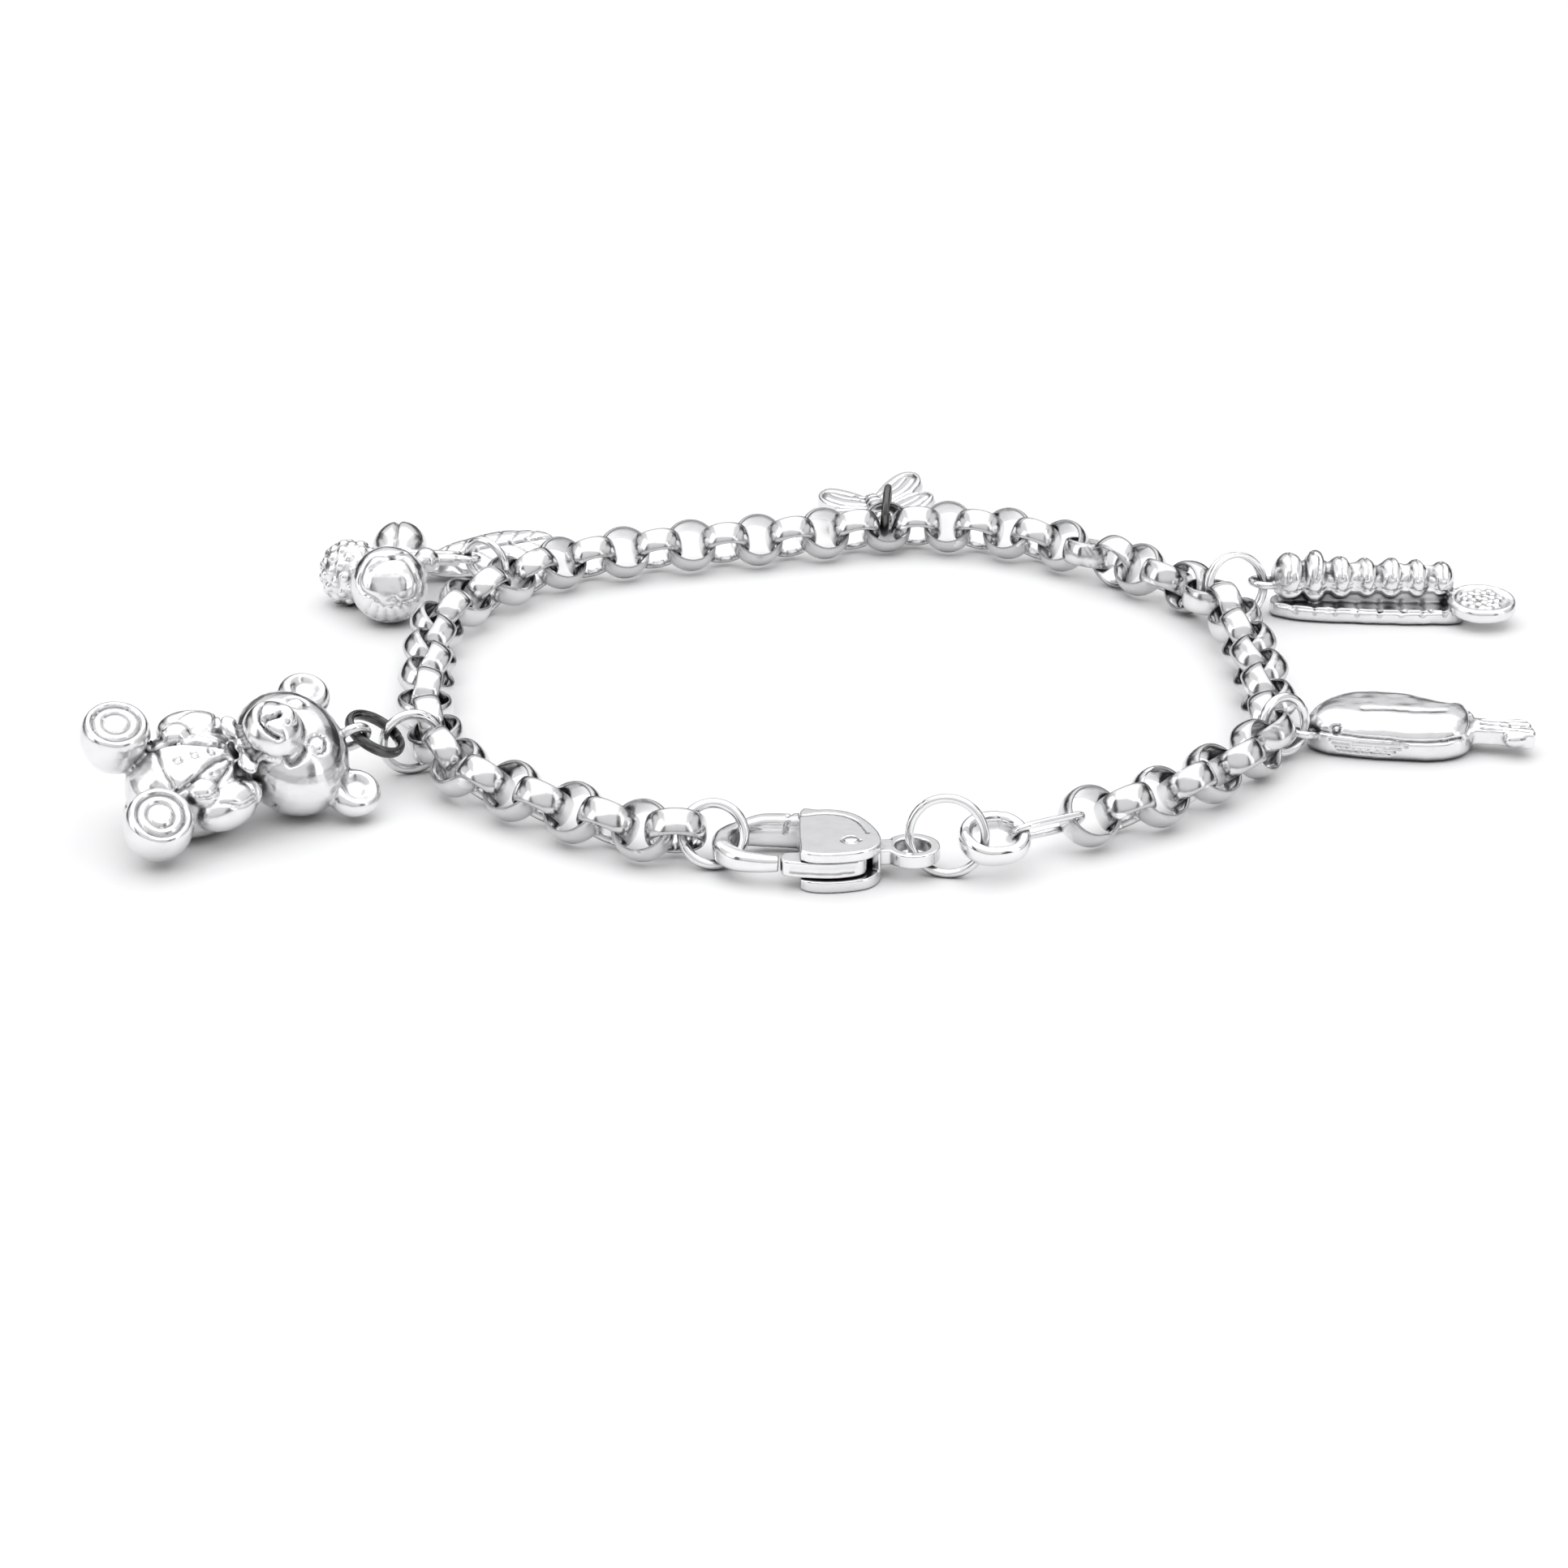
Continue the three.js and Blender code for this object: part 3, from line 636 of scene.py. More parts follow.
def near_curve(co, pts, closed=False, n=60):
    c = catmull(list(pts) + ([pts[0]] if closed else []), n)
    # the curve is laid on the skin
    c = np.array([co[np.argmin(((co - q) ** 2).sum(1))] for q in c])
    c[1:-1] = (c[:-2] + 2 * c[1:-1] + c[2:]) / 4
    d = np.full(len(co), 1e9)
    for a, b in zip(c[:-1], c[1:]):
        ab = b - a
        t = np.clip(((co - a) @ ab) / max(1e-9, ab @ ab), 0, 1)
        d = np.minimum(d, np.linalg.norm(co - (a + t[:, None] * ab), axis=1))
    return d


def groove(pts, width, depth, facing=None, closed=False):
    """A cut along a curve; a negative depth raises a bead instead."""
    def run(co, no):
        d = near_curve(co, pts, closed)
        g = -depth * np.exp(-(d / width) ** 2)
        if facing is not None:
            g = g * np.clip((no @ np.asarray(facing, float)) * 3, 0, 1)
        return g
    return run


def pebbles(centre, radius, count, size, height, seed=3, test=None):
    """Small rounded bumps spread over the skin near a centre."""
    rng = np.random.default_rng(seed)
    k = np.arange(count) + 0.5
    ph = np.arccos(1 - 2 * k / count)
    th = math.pi * (1 + 5 ** 0.5) * k
    d = np.stack([np.cos(th) * np.sin(ph), np.sin(th) * np.sin(ph), np.cos(ph)], 1)
    pts = np.asarray(centre, float) + d * np.asarray(radius, float)

    def run(co, no):
        g = np.zeros(len(co))
        for q in pts:
            g = np.maximum(g, height * np.sqrt(np.clip(1 - (np.linalg.norm(co - q, axis=1) / size) ** 2, 0, 1)))
        if test is not None:
            g = g * test(co, no)
        return g
    return run


def dimples(amount, scale, seed=1):
    """Soft unevenness of a small casting."""
    rng = np.random.default_rng(seed)
    w = rng.normal(size=(7, 3)) * scale
    ph = rng.uniform(0, 6.28, 7)

    def run(co, no):
        return amount * np.mean([np.sin(co @ w[i] + ph[i]) for i in range(7)], axis=0)
    return run


def finish(ob, body, slot, *nodes):
    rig.ride(ob, body)
    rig.replaces(ob, *nodes)
    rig.slot(ob, slot)
    return ob


# ---------------------------------------------------------------- the chain
CHAIN_Z = 2.13
STATIONS = [
    (-8.81, -11.94, 0, 1), (-13.25, -9.13, 0, 1), (-17.36, -5.87, 0, 1), (-21.08, -2.16, 8, 3), (-24.34, 7.57, 50, 1),
    (-24.71, 12.65, 76, 1), (-24.96, 17.77, 90, 1), (-24.93, 22.98, 84, 1), (-23.30, 27.96, 74, 1), (-20.45, 32.38, 76, 1),
    (-16.88, 36.23, 90, 1), (-12.16, 38.52, 90, 1), (-7.12, 40.01, 90, 1), (-2.02, 41.31, 90, 1), (3.04, 42.76, 90, 1),
    (7.87, 44.33, 90, 1), (12.69, 44.32, 90, 1), (17.32, 42.76, 90, 1), (21.34, 39.99, 90, 2), (26.72, 34.80, 180, 1),
    (29.97, 31.12, 208, 1), (32.12, 26.73, 236, 1), (32.75, 21.67, 256, 1), (33.03, 16.41, 270, 1), (33.08, 11.15, 264, 1),
    (32.66, 5.91, 252, 1), (31.08, 0.92, 258, 1), (27.72, -3.13, 270, 1), (23.95, -6.79, 270, 1), (19.27, -9.75, 270, 0)]
LENGTHS = [("chain_front_left", 8), ("chain_left_front", 8), ("chain_left_back", 8), ("chain_back_left", 8),
           ("chain_back_right", 8), ("chain_right_back", 8), ("chain_right_front", 8), ("chain_front_right", 7)]


def centripetal(points, u):
    """A point on a centripetal Catmull-Rom curve through points, u from 0 to 1 by index."""
    p = [np.asarray(q, float) for q in points]
    n = len(p)
    s = u * (n - 1)
    k = int(math.floor(s))
    w = s - k
    if k >= n - 1:
        k, w = n - 2, 1.0
    p0 = p[k - 1] if k > 0 else 2 * p[0] - p[1]
    p1, p2 = p[k], p[k + 1]
    p3 = p[k + 2] if k + 2 < n else 2 * p[-1] - p[-2]
    d0 = math.dist(p0, p1) ** 0.5
    d1 = math.dist(p1, p2) ** 0.5
    d2 = math.dist(p2, p3) ** 0.5
    t1 = (p1 - p0) / d0 - (p2 - p0) / (d0 + d1) + (p2 - p1) / d1
    t2 = (p2 - p1) / d1 - (p3 - p1) / (d1 + d2) + (p3 - p2) / d2
    t1 *= d1
    t2 *= d1
    c2 = -3 * p1 + 3 * p2 - 2 * t1 - t2
    c3 = 2 * p1 - 2 * p2 + t1 + t2
    return p1 + t1 * w + c2 * w * w + c3 * w ** 3


links = [dict(p=np.array([-6.75, -11.95, CHAIN_Z]), twist=0.0, odd=True)]
_odd = False
_pts = [(x, y, CHAIN_Z) for x, y, _, _ in STATIONS]
for i, (x, y, tw, nx) in enumerate(STATIONS):
    links.append(dict(p=np.array([x, y, CHAIN_Z]), twist=float(tw), odd=_odd))
    _odd = not _odd
    for k in range(1, nx + 1):
        fr = k / (nx + 1)
        links.append(dict(p=centripetal(_pts, (i + fr) / (len(STATIONS) - 1)), twist=tw + fr * (STATIONS[i + 1][2] - tw), odd=_odd))
        _odd = not _odd
for i, l in enumerate(links):
    a, b = links[max(0, i - 1)]["p"], links[min(len(links) - 1, i + 1)]["p"]
    t = (b - a) / np.linalg.norm(b - a)
    out = np.cross([0, 0, 1], t)
    out /= np.linalg.norm(out)
    th = math.radians((135 if l["odd"] else 45) + l["twist"])
    l["t"], l["n"] = t, out * math.cos(th) + np.array([0, 0, math.sin(th)])


def link_profile(bore=1.60, outer=1.98, half=0.90):
    """Half-round band: flat bore, domed outside, eased edges."""
    p = []
    for k in range(5):                                   # bore, low to high
        y = -0.80 + 1.60 * k / 4
        p.append((bore + 0.012 * (y / 0.8) ** 2, y))
    p.append((bore + 0.035, 0.865))
    p.append((bore + 0.085, half))
    for k in range(11):                                  # dome, high to low
        a = math.pi / 2 - math.pi * (k + 0.5) / 11
        y = half * 0.985 * math.sin(a)
        r = bore + 0.09 + (outer - bore - 0.09) * math.cos(a) ** 0.95
        p.append((r, y))
    p.append((bore + 0.085, -half))
    p.append((bore + 0.035, -0.865))
    return p


PROFILE = link_profile()


def band(l, i):
    rng = np.random.default_rng(100 + i)
    v, f = lathe(PROFILE, 56)
    # slightly out of round, never the same way twice
    a = np.arctan2(v[:, 1], v[:, 0])
    q = 1 + 0.006 * np.cos(2 * (a - rng.uniform(0, 3.14)))
    v = v * np.column_stack([q, q, np.ones(len(v))])
    n = l["n"] + rng.normal(size=3) * 0.012
    m = basis(l["p"] + rng.normal(size=3) * 0.015, l["t"], n)
    return apply(m, v), f


k = 0
for name, count in LENGTHS:
    v, f = merge([band(links[j], j) for j in range(k, k + count)])
    k += count
    finish(to_object(name + "_v", v, f, CHAIN), "bracelet", "chain_silver", name)

# ---------------------------------------------------------------- the clasp
cheek = [(1.0, -10.15), (2.1, -9.9), (3.4, -9.95), (4.6, -10.7), (5.5, -12.2), (5.95, -13.6), (5.95, -14.9), (5.2, -16.0), (3.6, -16.55), (2.0, -16.6), (1.15, -16.2), (1.0, -15.4)]
web = [(1.0, -10.15), (2.1, -9.9), (3.4, -9.95), (4.6, -10.7), (5.5, -12.2), (5.95, -13.6), (5.95, -15.0), (5.45, -14.75), (5.35, -13.9), (4.9, -13.15), (3.6, -12.85), (1.0, -12.75)]
claw = [(1.6, -10.45), (0.2, -10.35), (-1.4, -10.3), (-2.9, -10.8), (-3.75, -12.0), (-3.75, -13.6), (-2.9, -14.75), (-1.6, -15.2), (-0.35, -15.3)]
eye_v, eye_f = lathe([(1.08, 1.02), (1.14, 0.95), (1.66, 0.95), (1.72, 1.02), (1.72, 1.78), (1.66, 1.85), (1.14, 1.85), (1.08, 1.78)], 64)
clasp_parts = [
    plate(cheek, 0.0, 0.78, 0.10, 4), plate(cheek, 2.02, 2.70, 0.12, 4), plate(web, 0.3, 2.4, 0.0),
    tube([(x, y, 1.45) for x, y in claw], [0.62, 0.60, 0.58, 0.60, 0.66, 0.66, 0.60, 0.52, 0.44], 60, 26, tall=1.14, square=0.25),
    tube([(x, y, 1.4) for x, y in claw[:4]], [0.62, 0.58, 0.56, 0.42], 24, 26, tall=1.85, square=0.5),
    (eye_v + np.array([8.0, -13.4, 0.0]), eye_f),
    plate([(5.5, -14.5), (6.75, -14.35), (6.75, -12.6), (5.4, -12.7)], 0.9, 1.9, 0.1),
    tube([(4.15, -14.55, 0.2), (4.15, -14.55, 2.5)], 0.42, 8, 20, up=(0, 1, 0)),
    ball((4.15, -14.55, 2.68), (0.50, 0.50, 0.16)),
]
finish(cast("clasp_body_v", clasp_parts, 0.062, CLASP, smooth=3, passes=[
    groove([(1.2, -10.9, 2.7), (2.4, -10.6, 2.7), (3.6, -10.8, 2.7), (4.6, -11.8, 2.7), (5.2, -13.4, 2.7)], 0.10, 0.05, (0, 0, 1)),
    groove([(0.9, -9.6, 1.9), (0.3, -10.4, 2.15), (0.1, -11.1, 1.5)], 0.12, 0.10),
    groove([(4.75, -14.55, 2.75), (4.15, -13.95, 2.75), (3.55, -14.55, 2.75), (4.15, -15.15, 2.75)], 0.07, 0.05, (0, 0, 1), closed=True),
    dimples(0.02, 1.3, 4)]), "bracelet", "polished_silver", "clasp_body")
lever = [(-0.05, -15.9), (-0.05, -14.75), (1.2, -14.55), (3.0, -14.15), (3.6, -13.75), (4.2, -13.62), (4.8, -13.85), (5.05, -14.4), (5.1, -15.3), (4.6, -15.95), (3.2, -16.35), (1.6, -16.3)]
lv, lf = plate(lever, 0.88, 1.92, 0.10, 4)
hole = [tube([(4.15, -14.55, 0.5), (4.15, -14.55, 2.3)], 0.5, 6, 20, up=(0, 1, 0))]
finish(cast("clasp_lever_v", [(lv, lf)], 0.05, CLASP, smooth=3, passes=[
    groove([(0.3, -16.5, 1.4), (2.0, -16.7, 1.4), (4.4, -16.4, 1.4)], 0.25, 0.08, (0, -1, 0))]), "lever", "polished_silver", "clasp_lever")

# ---------------------------------------------------------------- rings
RINGS = [
    # name, centre, normal, R, wire, along, stretch, seam, material, slot
    ("ring_hook", (-4.414, -12.108, 1.980), (0.082, -0.826, 0.557), 1.95, 0.33, (0.279, -0.274, 1.184), 1, 2.2, POLISHED, "polished_silver"),
    ("ring_tail", (10.114, -13.659, 2.552), (-0.197, -0.951, 0.238), 2.38, 0.29, (0.097, -0.073, 0.564), 1, 0.9, POLISHED, "polished_silver"),
    ("link_wide", (13.043, -13.597, 2.372), (0.126, -0.336, 0.933), 1.55, 0.45, (1.245, 0.343, 0.188), 1.2, 1.2, POLISHED, "polished_silver"),
    ("link_long", (16.354, -11.651, 2.228), (-0.363, 0.616, 0.699), 1.15, 0.23, (0.750, 0.402, -0.152), 2.36, 1.57, POLISHED, "polished_silver"),
    ("bear_bail", (-26.808, 0.146, 3.546), (0.531, -0.062, 0.845), 1.9, 0.27, (-0.297, 0.202, 1.044), 1, 4.0, DARK, "dark_silver"),
    ("bear_ring", (-24.615, 1.761, 2.276), (-0.336, 0.942, -0.013), 1.95, 0.32, (0.036, -0.255, 0.987), 1, 0.6, POLISHED, "polished_silver"),
    ("fruit_ring", (-22.167, 33.458, 3.226), (0.537, 0.838, 0.099), 1.72, 0.30, (0.096, 0.021, 0.848), 1, 2.6, POLISHED, "polished_silver"),
    ("butterfly_ring", (7.949, 45.760, 2.933), (0.994, -0.086, -0.061), 1.75, 0.32, (-0.323, -0.376, 0.826), 1, 5.0, DARK, "dark_silver"),
    ("whale_ring", (33.390, 4.267, 2.431), (0.546, -0.804, 0.236), 1.85, 0.32, (-0.407, -0.621, 1.150), 1, 1.9, POLISHED, "polished_silver"),
]
for s, (name, c, n, R, w, along, st, seam, mat, slot) in enumerate(RINGS):
    v, f = wire_ring(c, n, R, w, along, st, seam, seed=s, flat=0.12 if name == "link_wide" else 0.0, deep={"link_wide": 1.5, "bear_bail": 1.45}.get(name, 1.0))
    finish(to_object(name + "_v", v, f, mat), "bracelet", slot, name)
# the segmented charm hangs from a split ring: two coils of one wire, side by side
_n = np.array([-0.385, 0.871, -0.305])
_n /= np.linalg.norm(_n)
coils = []
for s, off in ((20, -0.235), (21, 0.235)):
    coils.append(wire_ring(np.array([33.300, 30.110, 2.549]) + _n * off, _n, 2.30, 0.225, (-0.053, 0.130, 1.362), 1, 0.5 + off * 2, seed=s, wave=0.05))
v, f = merge(coils)
finish(to_object("segmented_ring_a_v", v, f, POLISHED), "bracelet", "polished_silver", "segmented_ring_a")

# ---------------------------------------------------------------- teddy bear
BEAR = np.array(Matrix.Translation((-35.2, -5.8, 3.48)) @ (
    Matrix.Rotation(math.radians(30.8), 4, "Z") @ Matrix.Rotation(math.radians(-2.9), 4, "Y") @ Matrix.Rotation(math.radians(31.4), 4, "X")))


def foot(s):
    prof = [(0.0, -2.2), (0.7, -2.1), (1.3, -1.85), (1.75, -1.4), (2.05, -0.8), (2.2, -0.1), (2.22, 0.5), (2.12, 1.1), (1.95, 1.42), (1.7, 1.55), (1.45, 1.5), (0.0, 1.5)]
    v, f = lathe([(max(r, 0.001), z) for r, z in prof], 40)
    m = Matrix.Translation((-6.75, s * 3.6, 1.7)) @ Matrix.Rotation(math.radians(-s * 6), 4, "X")
    return apply(np.array(m), v), f


def ring_pts(c, r, axis="z", n=16, tilt=None):
    pts = []
    for i in range(n):
        t = 2 * math.pi * i / n
        q = {"z": (r * math.cos(t), r * math.sin(t), 0), "x": (0, r * math.cos(t), r * math.sin(t)), "y": (r * math.cos(t), 0, r * math.sin(t))}[axis]
        pts.append(tuple(np.array(c) + np.array(q)))
    return pts


bear_parts = [
    ball((3.9, 0, 0.3), (3.65, 4.5, 3.25)), ball((2.3, 0, 3.2), (1.95, 2.1, 1.85)), ball((3.0, 0, 4.75), (0.62, 0.85, 0.42)),
    ball((6.6, 4.1, 0.1), (1.75, 1.75, 1.15)), ball((6.6, -4.1, 0.1), (1.75, 1.75, 1.15)),
    wire_ring((8.3, 0, 0.2), (0, 1, 0), 1.0, 0.32, (0, 0, 1), seam_cut=0.0, seg=48, sides=16),
    ball((-3.0, 0, -0.1), (4.15, 3.65, 3.05)),
    ball((-1.6, 3.0, 1.0), (2.4, 1.45, 1.45), (0, 0, -20)), ball((-1.6, -3.0, 1.0), (2.4, 1.45, 1.45), (0, 0, 20)),
    ball((-3.2, 2.3, 2.1), (1.05, 0.95, 0.85)), ball((-3.2, -2.3, 2.1), (1.05, 0.95, 0.85)),
    ball((4.75, 1.75, 2.85), (0.5, 0.5, 0.42)), ball((4.75, -1.75, 2.85), (0.5, 0.5, 0.42)),
    # neckerchief with a bow
    ball((-6.3, 0, -1.6), (0.95, 1.0, 0.95)),
    ball((0.35, 0, 2.75), (0.6, 0.7, 0.5)), ball((0.2, 1.35, 2.65), (0.75, 1.05, 0.4), (10, 0, 12)), ball((0.2, -1.35, 2.65), (0.75, 1.05, 0.4), (-10, 0, -12)),
    foot(1), foot(-1)]


def ears(co, no):
    g = np.zeros(len(co))
    for s in (1, -1):
        d = np.linalg.norm((co - np.array([6.75, s * 4.25, 1.2])) * np.array([1, 1, 0.8]), axis=1)
        g -= 0.62 / (1 + np.exp((d - 1.02) / 0.07)) * np.clip(no[:, 2] * 2, 0, 1)
    return g


def soles(co, no):
    g = np.zeros(len(co))
    for s in (1, -1):
        r = np.hypot(co[:, 0] + 6.75, co[:, 1] - s * 3.75)
        on = (co[:, 2] > 2.6) * np.clip(no[:, 2] * 2, 0, 1)
        g += on * (-0.20 * np.exp(-((r - 1.45) / 0.14) ** 2) - 0.16 * np.exp(-((r - 0.85) / 0.12) ** 2) + 0.10 * np.exp(-(r / 0.45) ** 2))
    return g


bear_passes = [
    ears, soles,
    groove([(0.75, 4.2, 0.3), (0.75, 3.4, -1.6), (0.75, 0, -2.9), (0.75, -3.4, -1.6), (0.75, -4.2, 0.3)], 0.20, 0.26),
    groove([(-0.4, 3.4, 0.2), (-0.4, 2.6, -1.8), (-0.4, 0, -2.8), (-0.4, -2.6, -1.8), (-0.4, -3.4, 0.2)], 0.15, 0.20),
    groove([(-5.0, 3.2, 0.4), (-5.0, 2.4, -1.7), (-5.0, 0, -2.7), (-5.0, -2.4, -1.7), (-5.0, -3.2, 0.4)], 0.16, 0.22),
    groove([(-0.5, 0, -3.1), (-2.6, 0, -3.3), (-4.8, 0, -2.9)], 0.12, 0.18),
    groove(ring_pts((4.75, 1.75, 3.0), 0.62), 0.13, 0.16), groove(ring_pts((4.75, -1.75, 3.0), 0.62), 0.13, 0.16),
    groove([(2.55, 0, 5.0), (1.9, 0, 5.0), (1.5, 0, 4.8)], 0.15, 0.34),
    groove([(2.0, 1.35, 4.4), (1.45, 0.8, 4.65), (1.3, 0, 4.7), (1.45, -0.8, 4.65), (2.0, -1.35, 4.4)], 0.15, 0.34),
    groove([(0.55, 4.2, 0.6), (0.7, 3.2, 1.9), (0.85, 1.9, 2.75), (0.9, 0, 3.0), (0.85, -1.9, 2.75), (0.7, -3.2, 1.9), (0.55, -4.2, 0.6)], 0.22, 0.30),
    groove([(-0.35, 3.6, 0.8), (-0.35, 2.9, 1.9), (-0.45, 1.9, 2.6), (-0.5, 0, 2.95), (-0.45, -1.9, 2.6), (-0.35, -2.9, 1.9), (-0.35, -3.6, 0.8)], 0.16, 0.20),
    groove([(0.35, 0.55, 3.3), (0.3, 0.62, 2.6)], 0.14, 0.16), groove([(0.35, -0.55, 3.3), (0.3, -0.62, 2.6)], 0.14, 0.16),
    groove([(-0.3, 0.5, 2.9), (-2.0, 0.8, 2.9), (-3.6, 1.5, 2.6), (-5.2, 1.9, 2.0)], 0.15, 0.24), groove([(-0.3, -0.5, 2.9), (-2.0, -0.8, 2.9), (-3.6, -1.5, 2.6), (-5.2, -1.9, 2.0)], 0.15, 0.24),
    groove([(-0.9, 1.3, 2.7), (-2.0, 2.0, 2.4), (-2.9, 2.4, 2.0)], 0.14, 0.20), groove([(-0.9, -1.3, 2.7), (-2.0, -2.0, 2.4), (-2.9, -2.4, 2.0)], 0.14, 0.20),
    groove([(-0.9, 0.9, 2.9), (-1.5, 1.2, 2.8), (-2.3, 1.35, 2.7)], 0.18, -0.14), groove([(-0.9, -0.9, 2.9), (-1.5, -1.2, 2.8), (-2.3, -1.35, 2.7)], 0.18, -0.14),
    *[groove(ring_pts((x, 0.05, 2.95), 0.24), 0.08, 0.14, closed=True) for x in (-1.7, -2.9, -4.1)],
    groove([(-4.6, 3.2, 1.2), (-5.0, 2.0, 2.3), (-5.2, 0.3, 2.7), (-5.0, -2.0, 2.3), (-4.6, -3.2, 1.2)], 0.16, 0.20),
    groove([(-3.9, 2.9, 2.6), (-3.2, 3.25, 2.8), (-2.5, 2.9, 2.7)], 0.10, 0.12), groove([(-3.9, -2.9, 2.6), (-3.2, -3.25, 2.8), (-2.5, -2.9, 2.7)], 0.10, 0.12),
    groove([(0.1, 3.6, 2.0), (-1.2, 4.0, 2.2), (-2.6, 3.5, 2.3)], 0.12, 0.12), groove([(0.1, -3.6, 2.0), (-1.2, -4.0, 2.2), (-2.6, -3.5, 2.3)], 0.12, 0.12),
    groove([(3.9, 1.9, 3.5), (2.9, 2.5, 3.2), (1.6, 2.2, 3.0), (0.7, 1.4, 3.1)], 0.20, 0.34), groove([(3.9, -1.9, 3.5), (2.9, -2.5, 3.2), (1.6, -2.2, 3.0), (0.7, -1.4, 3.1)], 0.20, 0.34),
    dimples(0.05, 0.9, 2)]
finish(cast("teddy_bear_v", bear_parts, 0.115, CAST, smooth=4, passes=bear_passes, transform=BEAR), "bracelet", "cast_silver", "teddy_bear")

# ---------------------------------------------------------------- fruit sprig
E_LEAF = Euler([math.radians(a) for a in (24, -6, 20)], "XYZ").to_matrix()
fruit_parts = [
    ball((-29.0, 29.6, 2.85), 2.85), ball((-32.2, 33.3, 2.4), (2.3, 2.3, 2.4)), ball((-29.2, 38.6, 2.4), (2.1, 2.6, 2.0)), ball((-26.7, 33.6, 3.3), 0.95),
    tube([(-29.5, 32.2, 3.0), (-26.7, 33.6, 3.3), (-24.3, 34.3, 3.1)], 0.45, 24, 16), tube([(-29.2, 36.8, 2.6), (-26.7, 35.6, 2.9), (-24.3, 34.9, 3.1)], 0.45, 24, 16),
    tube([(-30.9, 34.5, 2.4), (-29.1, 37.2, 2.4)], 0.8, 10, 16), tube([(-25.6, 38.6, 1.6), (-26.7, 35.6, 2.9)], 0.55, 10, 14), tube([(-26.7, 35.8, 2.9), (-26.7, 33.4, 3.2)], 0.5, 10, 14),
    ball((-22.6, 39.9, 1.5), (5.3, 2.0, 0.8), (24, -6, 20)),
    wire_ring((-23.7, 34.5, 3.15), (0.1, 0.2, 1), 0.85, 0.3, seam_cut=0.0, seg=40, sides=14)]


def leafpt(u, v, w):
    q = E_LEAF @ Vector((u, v, w))
    return (-22.6 + q.x, 39.9 + q.y, 1.5 + q.z)


def front_ring(co, no):
    a = np.array([0.08, -0.86, 0.50])
    rel = co - np.array([-29.0, 29.6, 2.85])
    h = rel @ a
    flat = rel - h[:, None] * a
    r = np.linalg.norm(flat, axis=1)
    up = np.cross(a, (1.0, 0.0, 0.0))
    th = np.arctan2(flat @ up, flat[:, 0])
    edge = 1.98 + 0.20 * np.cos(2 * th + 0.7) + 0.11 * np.cos(5 * th + 1.9)
    on = (h > 0.3) & (h < 3.2) & (r < 2.9)
    under = np.clip(-np.sin(th), 0, 1) * np.clip((r - edge) / 0.25, 0, 1)
    return on * (-0.17 * np.exp(-((r - edge) / 0.13) ** 2) - 0.13 * np.clip(1 - (r / 1.8) ** 2, 0, 1) - 0.055 * under * (1 + np.sin(22 * th)))


fruit_passes = [
    pebbles((-32.2, 33.3, 2.4), (2.3, 2.3, 2.4), 74, 0.36, 0.20, test=lambda co, no: (np.linalg.norm((co - np.array([-32.2, 33.3, 2.4])) / np.array([2.3, 2.3, 2.4]), axis=1) < 1.12).astype(float)),
    groove([(-30.2, 27.9, 4.7), (-29.4, 28.1, 5.2), (-28.4, 28.7, 5.4), (-27.8, 29.5, 5.3)], 0.16, 0.12),
    groove([(-29.2, 36.2, 3.1), (-29.3, 37.6, 4.3), (-29.3, 39.6, 4.3), (-29.2, 41.0, 3.0)], 0.20, 0.24),
    groove([leafpt(-5.2, 0, 0.3), leafpt(-2, 0.1, 0.8), (leafpt(2, -0.1, 0.8)), leafpt(5.2, 0, 0.3)], 0.14, 0.22, (0, 0, 1)),
    *[groove([leafpt(x, 0, 0.8), leafpt(x + 0.7, s * 0.9, 0.6), leafpt(x + 1.2, s * 1.7, 0.3)], 0.10, 0.12, (0, 0, 1)) for x in (-3.8, -2.4, -1.0, 0.4, 1.8, 3.2) for s in (1, -1)],
    front_ring,
    groove([(-29.0, 26.9, 2.6), (-28.4, 27.0, 2.9), (-28.1, 27.1, 2.5)], 0.12, 0.12),
    dimples(0.06, 1.0, 5), dimples(0.03, 2.2, 6)]
finish(cast("fruit_sprig_v", fruit_parts, 0.11, CAST, smooth=4, passes=fruit_passes), "bracelet", "cast_silver", "fruit_sprig")

# ---------------------------------------------------------------- butterfly
def wing(s):
    pts = [(0.3, 0.6), (1.6, 0.1), (3.6, 0.3), (4.6, 1.4), (4.1, 2.8), (3.3, 3.4), (4.3, 4.6), (4.4, 6.2), (3.2, 7.4), (1.4, 6.6), (0.3, 4.8)]
    v, f = plate([(s * a, b) for a, b in pts], 0, 0.9, 0.16, 4)
    return apply(np.array(Matrix.Rotation(math.radians(-s * 14), 4, "Y")), v), f


